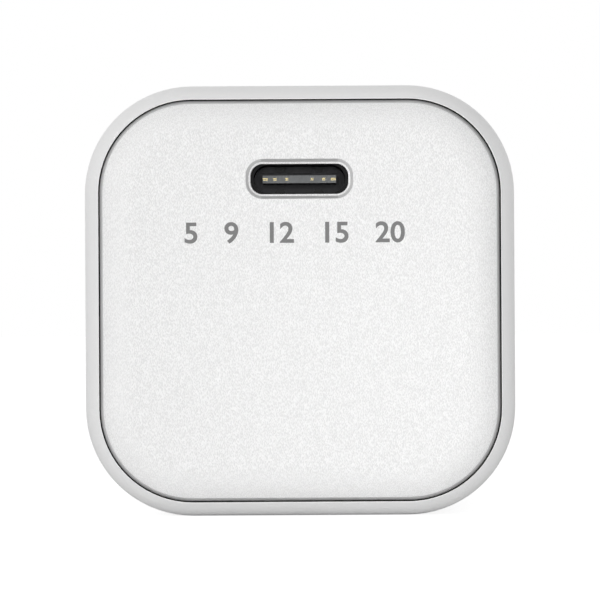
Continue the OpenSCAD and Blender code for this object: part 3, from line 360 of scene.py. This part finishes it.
# Fuse: a slim ceramic tube in a dark brown shrink sleeve, hung on end from the board by two tinned leads. The sleeve
# is glossy and softly wrinkled where it has shrunk.
SLEEVE_FOLD = 1.2 * mm
fuse_sleeve, tree, shader = start_material("Shrink_sleeve_brown", "#39291f", 0.3, 1.5)
place = add_node(tree, "TexCoord")
folds = add_node(tree, "TexNoise", {"Scale": 1 / SLEEVE_FOLD, "Detail": 2.0}, {"Vector": (place, "Object")})
relief = add_node(tree, "Bump", {"Strength": 0.5, "Distance": 0.06 * mm}, {"Height": (folds, 0)})
tree.links.new(relief.outputs[0], shader.inputs["Normal"])
tin_leads(tree, shader, HANG_Z)
dress(fuse_sleeve, "fuse")

# Chips: black epoxy moulded round silicon, on top of the board. The mould is lightly spark eroded, so the tops are
# dead matt with a fine grit, drawn coarser than it is. The optocoupler's epoxy is off-white.
CHIP_GRIT = 0.12 * mm
for name, colour, nodes in [
    ("Epoxy_mould_black", "#1c1c1e", ("bridge_rectifier", "power_switch", "synchronous_rectifier", "port_controller")),
    ("Epoxy_mould_off_white", "#d9d6c9", ("optocoupler",)),
]:
    mould, tree, shader = start_material(name, colour, 0.6, 1.55)
    place = add_node(tree, "TexCoord")
    grit = add_node(tree, "TexNoise", {"Scale": 1 / CHIP_GRIT, "Detail": 3.0}, {"Vector": (place, "Object")})
    relief = add_node(tree, "Bump", {"Strength": 0.5, "Distance": 0.012 * mm}, {"Height": (grit, 0)})
    tree.links.new(relief.outputs[0], shader.inputs["Normal"])
    dress(mould, *nodes)

# Thermal pads: soft silicone filled with mineral powder, pressed between the chips and the heat spreader and between
# the core and the housing's floor. They are pale blue-grey, dull, and slightly lumpy.
PAD_LUMP = 0.7 * mm
silicone, tree, shader = start_material("Silicone_filled_pad", "#a9b4c2", 0.7, 1.43)
place = add_node(tree, "TexCoord")
lumps = add_node(tree, "TexNoise", {"Scale": 1 / PAD_LUMP, "Detail": 4.0}, {"Vector": (place, "Object")})
colour = add_node(tree, "Mix", {"data_type": "RGBA", 6: linear("#9aa6b5"), 7: linear("#bac3cf")}, {0: (lumps, 0)})
tree.links.new(colour.outputs[2], shader.inputs["Base Color"])
relief = add_node(tree, "Bump", {"Strength": 0.6, "Distance": 0.06 * mm}, {"Height": (lumps, 0)})
tree.links.new(relief.outputs[0], shader.inputs["Normal"])
dress(silicone, "thermal_pad_primary", "thermal_pad_secondary", "thermal_pad_core")

# Heat spreader: aluminium sheet, cut and bent to a low bridge over the chips. The mill's rolling lines run along it
# and spread each reflection crosswise into a soft band.
sheet_metal, tree, shader = start_material("Aluminium_sheet_rolled", "#cfd0d1", 0.34, metallic=1.0)
place = add_node(tree, "TexCoord")
drawn = add_node(tree, "Mapping", {"Scale": (1.0, 0.03, 1.0)}, {"Vector": (place, "Object")})
lines = add_node(tree, "TexNoise", {"Scale": 1 / ROLL_LINE, "Detail": 3.0}, {"Vector": (drawn, 0)})
rough = add_node(tree, "MapRange", {"To Min": 0.25, "To Max": 0.45}, {"Value": (lines, 0)})
tree.links.new(rough.outputs[0], shader.inputs["Roughness"])
relief = add_node(tree, "Bump", {"Strength": 0.4, "Distance": 0.004 * mm}, {"Height": (lines, 0)})
tree.links.new(relief.outputs[0], shader.inputs["Normal"])
dress(sheet_metal, "heat_spreader")

# Receptacle shell and its ground springs: deep-drawn stainless steel, plated black. The plating is matt and swallows
# nearly all light, with fine lines along the drawing direction. The shell is soldered to the board by its legs.
shell_steel, tree, shader = start_material("Stainless_steel_black_plated", "#070708", 0.5)
shader.inputs["Specular IOR Level"].default_value = 0.12
place = add_node(tree, "TexCoord")
drawn = add_node(tree, "Mapping", {"Scale": (1.0, 0.05, 1.0)}, {"Vector": (place, "Object")})
lines = add_node(tree, "TexNoise", {"Scale": 1 / ROLL_LINE, "Detail": 2.0}, {"Vector": (drawn, 0)})
colour = add_node(tree, "Mix", {"data_type": "RGBA", 6: linear("#040405"), 7: linear("#0a0a0b")}, {0: (lines, 0)})
tree.links.new(colour.outputs[2], shader.inputs["Base Color"])
dress(shell_steel, "usb_shell")
spring_steel, tree, shader = start_material("Stainless_spring_black_plated", "#0e0e10", 0.45)
shader.inputs["Specular IOR Level"].default_value = 0.2
place = add_node(tree, "TexCoord")
lines = add_node(tree, "TexNoise", {"Scale": 1 / ROLL_LINE, "Detail": 2.0}, {"Vector": (place, "Object")})
colour = add_node(tree, "Mix", {"data_type": "RGBA", 6: linear("#0b0b0d"), 7: linear("#161618")}, {0: (lines, 0)})
tree.links.new(colour.outputs[2], shader.inputs["Base Color"])
dress(spring_steel, "usb_ground_springs")

# Receptacle moulding: liquid-crystal polymer in two shots, a grey tongue over the contacts and a black block round
# its root. The polymer sets with fine flow streaks and a dull surface.
FACE_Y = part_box("front_cover")[0].y
PORT_Z = MIDDLE_Z + 11.05 * mm
TONGUE_HALF = 0.36 * mm
ROOT_Y = FACE_Y + 7.05 * mm
BLOCK_BLACK = "#424245"
FLOW_STREAK = 0.5 * mm
moulding, tree, shader = start_material("Liquid_crystal_polymer_two_shot", BLOCK_BLACK, 0.55, 1.6)
shader.inputs["Specular IOR Level"].default_value = 0.2
place = add_node(tree, "TexCoord")
parts = add_node(tree, "SeparateXYZ", {}, {0: (place, "Object")})
rise = add_node(tree, "Math", {"operation": "SUBTRACT", 1: PORT_Z}, {0: (parts, 2)})
rise = add_node(tree, "Math", {"operation": "ABSOLUTE"}, {0: (rise, 0)})
near = add_node(tree, "Math", {"operation": "LESS_THAN", 1: TONGUE_HALF}, {0: (rise, 0)})
before = add_node(tree, "Math", {"operation": "LESS_THAN", 1: ROOT_Y}, {0: (parts, 1)})
tongue = add_node(tree, "Math", {"operation": "MULTIPLY"}, {0: (near, 0), 1: (before, 0)})
streaks = add_node(tree, "TexNoise", {"Scale": 1 / FLOW_STREAK, "Detail": 3.0}, {"Vector": (place, "Object")})
grey = add_node(tree, "Mix", {"data_type": "RGBA", 6: linear("#626465"), 7: linear("#7a7c7d")}, {0: (streaks, 0)})
black = add_node(tree, "Mix", {"data_type": "RGBA", 6: linear("#3a3a3d"), 7: linear("#4a4a4d")}, {0: (streaks, 0)})
colour = add_node(tree, "Mix", {"data_type": "RGBA"}, {0: (tongue, 0), 6: (black, 2), 7: (grey, 2)})
tree.links.new(colour.outputs[2], shader.inputs["Base Color"])
relief = add_node(tree, "Bump", {"Strength": 0.4, "Distance": 0.02 * mm}, {"Height": (streaks, 0)})
tree.links.new(relief.outputs[0], shader.inputs["Normal"])
dress(moulding, "usb_insulator")

# Mid plate and contacts: a satin steel plate inside the tongue, and copper-alloy strips with a thin gold flash, whose
# trimmed ends show as small pale spots in the tongue's tip. Moulding resin has crept over the top and bottom of each.
SPOT_H = 0.2 * mm
FLASH_BLOOM = 0.25 * mm
plate_steel, tree, shader = start_material("Stainless_steel_satin", "#8f9092", 0.4, metallic=1.0)
place = add_node(tree, "TexCoord")
lines = add_node(tree, "TexNoise", {"Scale": 1 / ROLL_LINE, "Detail": 2.0}, {"Vector": (place, "Object")})
rough = add_node(tree, "MapRange", {"To Min": 0.32, "To Max": 0.5}, {"Value": (lines, 0)})
tree.links.new(rough.outputs[0], shader.inputs["Roughness"])
dress(plate_steel, "usb_mid_plate")
gold, tree, shader = start_material("Gold_flash_on_copper_alloy", "#b8aa7c", 0.4, metallic=1.0)
place = add_node(tree, "TexCoord")
bloom = add_node(tree, "TexNoise", {"Scale": 1 / FLASH_BLOOM, "Detail": 3.0}, {"Vector": (place, "Object")})
yellow = add_node(tree, "Mix", {"data_type": "RGBA", 6: linear("#857b5a"), 7: linear("#a5986e")}, {0: (bloom, 0)})
height = add_node(tree, "SeparateXYZ", {}, {0: (place, "Object")})
rise = add_node(tree, "Math", {"operation": "SUBTRACT", 1: PORT_Z}, {0: (height, 2)})
rise = add_node(tree, "Math", {"operation": "ABSOLUTE"}, {0: (rise, 0)})
smear = add_node(tree, "MapRange", {"From Min": SPOT_H * 0.4, "From Max": SPOT_H * 0.6}, {"Value": (rise, 0)})
colour = add_node(tree, "Mix", {"data_type": "RGBA", 7: linear("#505152")}, {0: (smear, 0), 6: (yellow, 2)})
tree.links.new(colour.outputs[2], shader.inputs["Base Color"])
dress(gold, "usb_contacts")

# Front cover: a second moulding in the same white polycarbonate, snapped into the housing's mouth behind a fine shut
# line. Its face is spark-eroded to a wrinkled leather-like grain, drawn a little coarser than it is so that it shows.
# The grain is coloured with painted shade in its valleys and painted light on its ridges. On the rounded edge the
# grain's painted shade gets shallow, which is a painted highlight there, and the steep chamfer beyond is smooth and
# carries painted shade in grey.
BODY_W = body_high.x - body_low.x
CORNER_R = 9.85 * mm
FRONT_ROUND = 4.7 * mm
COVER_W = 36.49 * mm
COVER_SET_BACK = 0.012 * mm
COVER_T = 1.8 * mm
LEDGE_D = 3.4 * mm
RING_T = 1.2 * mm
RING_U = 7.75 * mm
RING_END = 6.2 * mm
RING_EDGE = 0.3 * mm
RING_EDGE_IN = 0.2 * mm
EDGE_W = 0.32 * mm
EDGE_D = 0.7 * mm
PORT_W = 8.9 * mm
PORT_H = 2.74 * mm
PORT_R = 1.1 * mm
RIM_W = 0.17 * mm
BEVEL_W = 0.26 * mm
BEVEL_D = 0.82 * mm
MOUTH_D = 0.9 * mm
PORT_FLANGE = 0.3 * mm
FACE_EDGE = 0.8 * mm
EDGE_BREAK = 0.01 * mm
COVER_WHITE = "#f5f5f5"
# Painted shade and painted light: the grain's valleys are coloured darker and its ridges lighter.
VALLEY_PAINTED_SHADE = "#e5e5e5"
RIDGE_PAINTED_LIGHT = "#f9f9f9"
# Painted shade: the grey that the steep chamfer is coloured with.
CHAMFER_PAINTED_SHADE = "#cccccc"
GRAIN_W = 0.06 * mm
GRAIN_H = 0.19 * mm
GRAIN_DEPTH = 0.04 * mm
SMOOTH_ANGLE = math.radians(35)
CORNER_STEPS = 24
ROUND_STEPS = 14
CLOSE = 0.002 * mm
MERGE = 0.001 * mm


def arc(middle, radius, start, end, steps):
    """Points on an arc as (outward, depth), with angles in degrees from straight ahead towards the side."""
    angles = [math.radians(start + (end - start) * i / steps) for i in range(steps + 1)]
    return [(middle[0] + radius * math.sin(a), middle[1] - radius * math.cos(a)) for a in angles]


def sweep(name, line, width, height, corner, middle_z, steps):
    """Carries a line of (outward, depth) points round a rounded rectangle, by a spin at each corner."""
    bpy.ops.object.select_all(action="DESELECT")
    bpy.ops.mesh.primitive_plane_add(size=mm)
    piece = bpy.context.object
    piece.name = name
    bpy.ops.object.mode_set(mode="EDIT")
    bpy.ops.mesh.select_mode(type="VERT")
    bpy.ops.mesh.merge(type="CENTER")
    turn = Vector((width / 2 - corner, FACE_Y, middle_z + height / 2 - corner))
    bpy.ops.transform.translate(value=turn + Vector((line[0][0], line[0][1], 0)))
    for last, point in zip(line, line[1:]):
        step = (point[0] - last[0], point[1] - last[1], 0)
        bpy.ops.mesh.extrude_region_move(TRANSFORM_OT_translate={"value": step})
    bpy.ops.mesh.select_all(action="SELECT")
    long, tall = width - 2 * corner, height - 2 * corner
    for pull in [(-long, 0, 0), (0, 0, -tall), (long, 0, 0), (0, 0, tall)]:
        bpy.ops.mesh.spin(steps=steps, angle=math.pi / 2, center=turn, axis=(0, 1, 0))
        bpy.ops.mesh.extrude_region_move(TRANSFORM_OT_translate={"value": pull})
        turn += Vector(pull)
    bpy.ops.mesh.select_all(action="SELECT")
    bpy.ops.mesh.remove_doubles(threshold=MERGE)
    bpy.ops.object.mode_set(mode="OBJECT")
    return piece


def join(first, *others):
    """Joins pieces to the first one and leaves it active."""
    bpy.ops.object.select_all(action="DESELECT")
    for piece in (first, *others):
        piece.select_set(True)
    bpy.context.view_layer.objects.active = first
    bpy.ops.object.join()
    return first


def choose_open_edges(piece, depth):
    """Goes into edit mode with the open edges that lie at a depth behind the face selected."""
    bpy.context.view_layer.objects.active = piece
    bpy.ops.object.mode_set(mode="EDIT")
    bpy.ops.mesh.select_mode(type="EDGE")
    bpy.ops.mesh.select_all(action="DESELECT")
    bpy.ops.object.mode_set(mode="OBJECT")
    uses = Counter(key for face in piece.data.polygons for key in face.edge_keys)
    for edge in piece.data.edges:
        ends = [piece.data.vertices[i].co.y - FACE_Y for i in edge.vertices]
        edge.select = uses[edge.key] == 1 and all(abs(d - depth) < CLOSE for d in ends)
    bpy.ops.object.mode_set(mode="EDIT")


def hand_over(piece, material, slot, *replaced):
    """Gives a finished piece its material and its body, and lets it stand for CAD nodes. Its slot argument is not used.
    """
    piece.data.materials.clear()
    piece.data.materials.append(material)
    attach(piece, "root")
    if replaced:
        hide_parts(*replaced)


fillet_u = CORNER_R - FRONT_ROUND
cover_u = COVER_W / 2 - (BODY_W / 2 - CORNER_R)
edge_angle = math.degrees(math.asin((cover_u - EDGE_W - fillet_u) / FRONT_ROUND))
edge_top = arc((fillet_u, FRONT_ROUND + COVER_SET_BACK), FRONT_ROUND, edge_angle, 0, ROUND_STEPS)
cover_line = [
    (RING_U - RING_T, COVER_T),
    (RING_U - RING_T, RING_END - RING_EDGE_IN),
    (RING_U - RING_T + RING_EDGE_IN, RING_END),
    (RING_U - RING_EDGE, RING_END),
    (RING_U, RING_END - RING_EDGE),
    (RING_U, LEDGE_D),
    (cover_u, LEDGE_D),
    (cover_u, edge_top[0][1] + EDGE_D),
    (edge_top[0][0] + 3 * EDGE_BREAK, edge_top[0][1] + 6 * EDGE_BREAK),
    (edge_top[0][0] + 1.6 * EDGE_BREAK, edge_top[0][1] + 3 * EDGE_BREAK),
    *edge_top,
    (fillet_u - FACE_EDGE, COVER_SET_BACK),
]
front_cover = sweep("front_cover_moulding", cover_line, BODY_W, BODY_W, CORNER_R, MIDDLE_Z, CORNER_STEPS)
bevel_u = PORT_R + RIM_W + BEVEL_W
port_line = [
    (bevel_u + 5 * EDGE_BREAK, COVER_SET_BACK),
    (bevel_u + 2 * EDGE_BREAK, COVER_SET_BACK + 0.8 * EDGE_BREAK),
    (bevel_u, COVER_SET_BACK + 3 * EDGE_BREAK),
    (PORT_R + RIM_W + EDGE_BREAK, BEVEL_D - 2 * EDGE_BREAK),
    (PORT_R + RIM_W - EDGE_BREAK, BEVEL_D),
    (PORT_R + 5 * EDGE_BREAK, BEVEL_D),
    (PORT_R + 1.5 * EDGE_BREAK, BEVEL_D + 1.5 * EDGE_BREAK),
    (PORT_R, BEVEL_D + 5 * EDGE_BREAK),
    (PORT_R, MOUTH_D),
    (PORT_R + PORT_FLANGE, MOUTH_D),
    (PORT_R + PORT_FLANGE, COVER_T),
]
port_wall = sweep("port_wall", port_line, PORT_W, PORT_H, PORT_R, PORT_Z, ROUND_STEPS)
join(front_cover, port_wall)
for depth in (COVER_SET_BACK, COVER_T):
    choose_open_edges(front_cover, depth)
    bpy.ops.mesh.fill()
bpy.ops.mesh.select_all(action="SELECT")
bpy.ops.mesh.normals_make_consistent(inside=False)
bpy.ops.object.mode_set(mode="OBJECT")
bpy.ops.object.shade_smooth_by_angle(angle=SMOOTH_ANGLE)
bpy.ops.object.modifier_add(type="WEIGHTED_NORMAL")
front_cover.modifiers[-1].keep_sharp = True
bpy.ops.object.modifier_apply(modifier=front_cover.modifiers[-1].name)

cover_plastic, tree, shader = start_material("Polycarbonate_white_spark_grain", COVER_WHITE, 0.5, 1.585)
place = add_node(tree, "TexCoord")
drawn = add_node(
    tree, "Mapping", {"Scale": (1 / GRAIN_W, 1 / GRAIN_W, 1 / GRAIN_H)}, {"Vector": (place, "Object")})
wrinkle = add_node(
    tree, "TexNoise", {"Scale": 1.0, "Detail": 0.0, "Distortion": 0.4}, {"Vector": (drawn, 0)})
facing = add_node(tree, "SeparateXYZ", {}, {0: (place, "Normal")})
# Painted highlight: on the rounded edge the valleys' painted shade is lifted, so the start of the edge is brighter.
shallow_grain_painted_highlight = add_node(
    tree, "MapRange", {"From Min": -0.999, "From Max": -0.975, "To Max": 0.25}, {"Value": (facing, 1)})
# Painted shade in the grain's valleys and painted light on its ridges, set by the wrinkle's height.
grain_painted_shade = add_node(
    tree, "MapRange", {"From Min": 0.42, "From Max": 0.58}, {"Value": (wrinkle, 0), "To Min": (shallow_grain_painted_highlight, 0)})
colour = add_node(
    tree, "Mix", {"data_type": "RGBA", 6: linear(VALLEY_PAINTED_SHADE), 7: linear(RIDGE_PAINTED_LIGHT)}, {0: (grain_painted_shade, 0)})
# Painted shade: steep faces of the chamfer are coloured grey and left smooth, without the grain's relief.
grain_vs_painted_chamfer_shade = add_node(
    tree, "MapRange", {"From Min": -0.45, "From Max": -0.65, "To Min": 0.0, "To Max": 1.0}, {"Value": (facing, 1)})
colour = add_node(tree, "Mix", {"data_type": "RGBA", 6: linear(CHAMFER_PAINTED_SHADE)}, {0: (grain_vs_painted_chamfer_shade, 0), 7: (colour, 2)})
tree.links.new(colour.outputs[2], shader.inputs["Base Color"])
relief = add_node(tree, "Bump", {"Distance": GRAIN_DEPTH}, {"Height": (wrinkle, 0), "Strength": (grain_vs_painted_chamfer_shade, 0)})
tree.links.new(relief.outputs[0], shader.inputs["Normal"])
hand_over(front_cover, cover_plastic, "grained_plastic", "front_cover")

# Shut line shade: a matt black strip deep in the gap between the cover and the housing, painted shade that makes the
# gap read as a dark line. It slopes from just under the lip to just behind the chamfer's foot.
MOUTH_U = 8.49 * mm
SHADE_STRIP_FIT = 0.002 * mm
SHADE_STRIP_OUTER = 1.62 * mm
SHADE_STRIP_INNER = 2.0 * mm
SHADE_STRIP_END = 2.4 * mm
SHADE_STRIP_LUMP = 0.4 * mm
gap_shade_line = [
    (cover_u + SHADE_STRIP_FIT, SHADE_STRIP_INNER),
    (MOUTH_U - SHADE_STRIP_FIT, SHADE_STRIP_OUTER),
    (MOUTH_U - SHADE_STRIP_FIT, SHADE_STRIP_END),
    (cover_u + SHADE_STRIP_FIT, SHADE_STRIP_END),
    (cover_u + SHADE_STRIP_FIT, SHADE_STRIP_INNER),
]
gap_shade_strip = sweep("shut_line_painted_shade", gap_shade_line, BODY_W, BODY_W, CORNER_R, MIDDLE_Z, CORNER_STEPS)
bpy.ops.object.mode_set(mode="EDIT")
bpy.ops.mesh.select_all(action="SELECT")
bpy.ops.mesh.normals_make_consistent(inside=False)
bpy.ops.object.mode_set(mode="OBJECT")
bpy.ops.object.shade_smooth_by_angle(angle=SMOOTH_ANGLE)
# Painted shade: the strip's near-black colour stands for the shade deep in the gap.
gap_shade_black, tree, shader = start_material("Black_painted_shade", "#080808", 0.8, 1.41)
shader.inputs["Specular IOR Level"].default_value = 0.1
place = add_node(tree, "TexCoord")
lumps = add_node(tree, "TexNoise", {"Scale": 1 / SHADE_STRIP_LUMP, "Detail": 2.0}, {"Vector": (place, "Object")})
relief = add_node(tree, "Bump", {"Strength": 0.4, "Distance": 0.03 * mm}, {"Height": (lumps, 0)})
tree.links.new(relief.outputs[0], shader.inputs["Normal"])
hand_over(gap_shade_strip, gap_shade_black, "port_moulding")

# Printed line: grey ink, pad printed on the cover in one thin matt film, which takes the grain of the plastic under
# it. It holds plain numbers, and stands a hair in front of the cover's face.
PRINT = "5   9   12   15   20"
PRINT_W = 20.0 * mm
PRINT_H = 1.95 * mm
PRINT_X = -0.45 * mm
PRINT_Z = MIDDLE_Z + 6.17 * mm
INK = "#787878"
INK_BLEED = 0.018
TEXT_EXTRUDE = 0.02
TEXT_STEPS = 8
FILM_T = 0.004 * mm
FILM_SET_BACK = 0.002 * mm
bpy.ops.object.select_all(action="DESELECT")
bpy.ops.object.text_add(rotation=(math.pi / 2, 0, 0))
numbers = bpy.context.object
numbers.name = "printed_numbers"
numbers.data.body = PRINT
numbers.data.offset = INK_BLEED
numbers.data.resolution_u = TEXT_STEPS
numbers.data.extrude = TEXT_EXTRUDE
bpy.ops.object.convert(target="MESH")
spread = numbers.dimensions.copy()
numbers.scale = (PRINT_W / spread.x, PRINT_H / spread.y, FILM_T / spread.z)
bpy.ops.object.transform_apply(location=False, rotation=True, scale=True)
low = Vector([min(v.co[i] for v in numbers.data.vertices) for i in range(3)])
high = Vector([max(v.co[i] for v in numbers.data.vertices) for i in range(3)])
bpy.ops.object.mode_set(mode="EDIT")
bpy.ops.mesh.select_all(action="SELECT")
bpy.ops.transform.translate(value=(
    PRINT_X - (low.x + high.x) / 2, FACE_Y + FILM_SET_BACK - low.y, PRINT_Z - (low.z + high.z) / 2))
bpy.ops.object.mode_set(mode="OBJECT")
ink, tree, shader = start_material("Pad_print_ink_grey", INK, 0.6)
place = add_node(tree, "TexCoord")
drawn = add_node(
    tree, "Mapping", {"Scale": (1 / GRAIN_W, 1 / GRAIN_W, 1 / GRAIN_H)}, {"Vector": (place, "Object")})
speck = add_node(tree, "TexNoise", {"Scale": 1.0, "Detail": 2.0}, {"Vector": (drawn, 0)})
relief = add_node(tree, "Bump", {"Strength": 0.6, "Distance": 0.02 * mm}, {"Height": (speck, 0)})
tree.links.new(relief.outputs[0], shader.inputs["Normal"])
hand_over(numbers, ink, "grained_plastic")

# Studio: a plain pale floor in a white room that is a little brighter at the back, a soft light in front, one from the
# left, a faint one above, and a small near one low on the right that lifts the face there.
FLOOR_W = 4.0
PAPER_WHITE = "#ececec"
PAPER_GLOW = 0.05
SEEN_GREY = "#b4b4b4"
SEEN_GLOW = 0.82
bpy.ops.object.select_all(action="DESELECT")
bpy.ops.mesh.primitive_plane_add(size=FLOOR_W)
floor = bpy.context.object
floor.name = "floor"
floor_white = bpy.data.materials.new("Paper_white")
floor_white.use_nodes = True
tree = floor_white.node_tree
tree.nodes.clear()
sheet = add_node(tree, "BsdfDiffuse", {"Color": linear(PAPER_WHITE)})
shine = add_node(tree, "Emission", {"Strength": PAPER_GLOW})
paper = add_node(tree, "AddShader", {}, {0: (sheet, 0), 1: (shine, 0)})
faint = add_node(tree, "BsdfDiffuse", {"Color": linear(SEEN_GREY)})
ray = add_node(tree, "LightPath")
glow = add_node(tree, "Emission", {"Strength": SEEN_GLOW})
both = add_node(tree, "AddShader", {}, {0: (faint, 0), 1: (glow, 0)})
seen = add_node(tree, "MixShader", {}, {0: (ray, "Is Camera Ray"), 1: (paper, 0), 2: (both, 0)})
add_node(tree, "OutputMaterial", {}, {"Surface": (seen, 0)})
floor.data.materials.append(floor_white)

FRONT_LEVEL = 0.375
REAR_LEVEL = 0.6
world = bpy.data.worlds.new("Studio")
bpy.context.scene.world = world
world.use_nodes = True
tree = world.node_tree
tree.nodes.clear()
ray = add_node(tree, "LightPath")
shown = add_node(tree, "Math", {"operation": "MAXIMUM"}, {0: (ray, "Is Camera Ray"), 1: (ray, "Is Glossy Ray")})
shown = add_node(tree, "Math", {"operation": "MAXIMUM"}, {0: (shown, 0), 1: (ray, "Is Transmission Ray")})
place = add_node(tree, "TexCoord")
way = add_node(tree, "SeparateXYZ", {}, {0: (place, "Generated")})
level = add_node(
    tree, "MapRange", {"From Min": -0.2, "From Max": 0.2, "To Min": FRONT_LEVEL, "To Max": REAR_LEVEL},
    {"Value": (way, 1)})
strength = add_node(tree, "Math", {"operation": "MAXIMUM"}, {0: (shown, 0), 1: (level, 0)})
back = add_node(tree, "Background", {"Color": (1, 1, 1, 1)}, {"Strength": (strength, 0)})
add_node(tree, "OutputWorld", {}, {"Surface": (back, 0)})


def add_lamp(name, place, aim, size, level):
    """Adds a soft light that the camera doesn't see, with the level that it gives at the point it is aimed at."""
    place, aim = Vector(place), Vector(aim)
    lamp = bpy.data.lights.new(name, "AREA")
    lamp.size = size
    lamp.energy = level * math.pi ** 2 * (aim - place).length_squared
    stand = bpy.data.objects.new(name, lamp)
    bpy.context.scene.collection.objects.link(stand)
    stand.location = place
    stand.rotation_euler = (aim - place).to_track_quat("-Z", "Y").to_euler()
    stand.visible_camera = False


SOFT_BOX = 0.14
TOP_BOX = 0.3
NEAR_BOX = 0.014
face_middle = (0, FACE_Y, MIDDLE_Z)
add_lamp("front_light", (0, FACE_Y - 0.6, MIDDLE_Z), face_middle, SOFT_BOX, 0.4)
add_lamp("side_light", (-0.432, FACE_Y - 0.362, MIDDLE_Z + 0.205), face_middle, SOFT_BOX, 0.195)
add_lamp("top_light", (0, -0.02, 0.64), (0, 0, 2 * MIDDLE_Z), TOP_BOX, 0.05)
add_lamp("near_light", (0.018, FACE_Y - 0.055, 0.008), (0.018, FACE_Y, 0.008), NEAR_BOX, 0.16)

# Camera: straight in front of the port's face at 0.4 m, so that the walls stay hidden behind it, with a long lens and
# a hair of roll.
CAMERA_D = 0.4
PX_PER_MM = 11.02
IMAGE_W = 600
SENSOR_W = 36.0
EYE_X = -0.005 * mm
EYE_RISE = 0.04 * mm
ROLL = math.radians(0.33)
camera = bpy.data.cameras.new("camera")
camera.sensor_width = SENSOR_W
camera.lens = SENSOR_W * CAMERA_D / mm * PX_PER_MM / IMAGE_W
camera.clip_start = 0.01
eye = bpy.data.objects.new("camera", camera)
bpy.context.scene.collection.objects.link(eye)
eye.location = (EYE_X, FACE_Y - CAMERA_D, MIDDLE_Z + EYE_RISE)
eye.rotation_euler = (math.pi / 2, ROLL, 0)
bpy.context.scene.camera = eye
bpy.context.scene.view_settings.view_transform = "Standard"
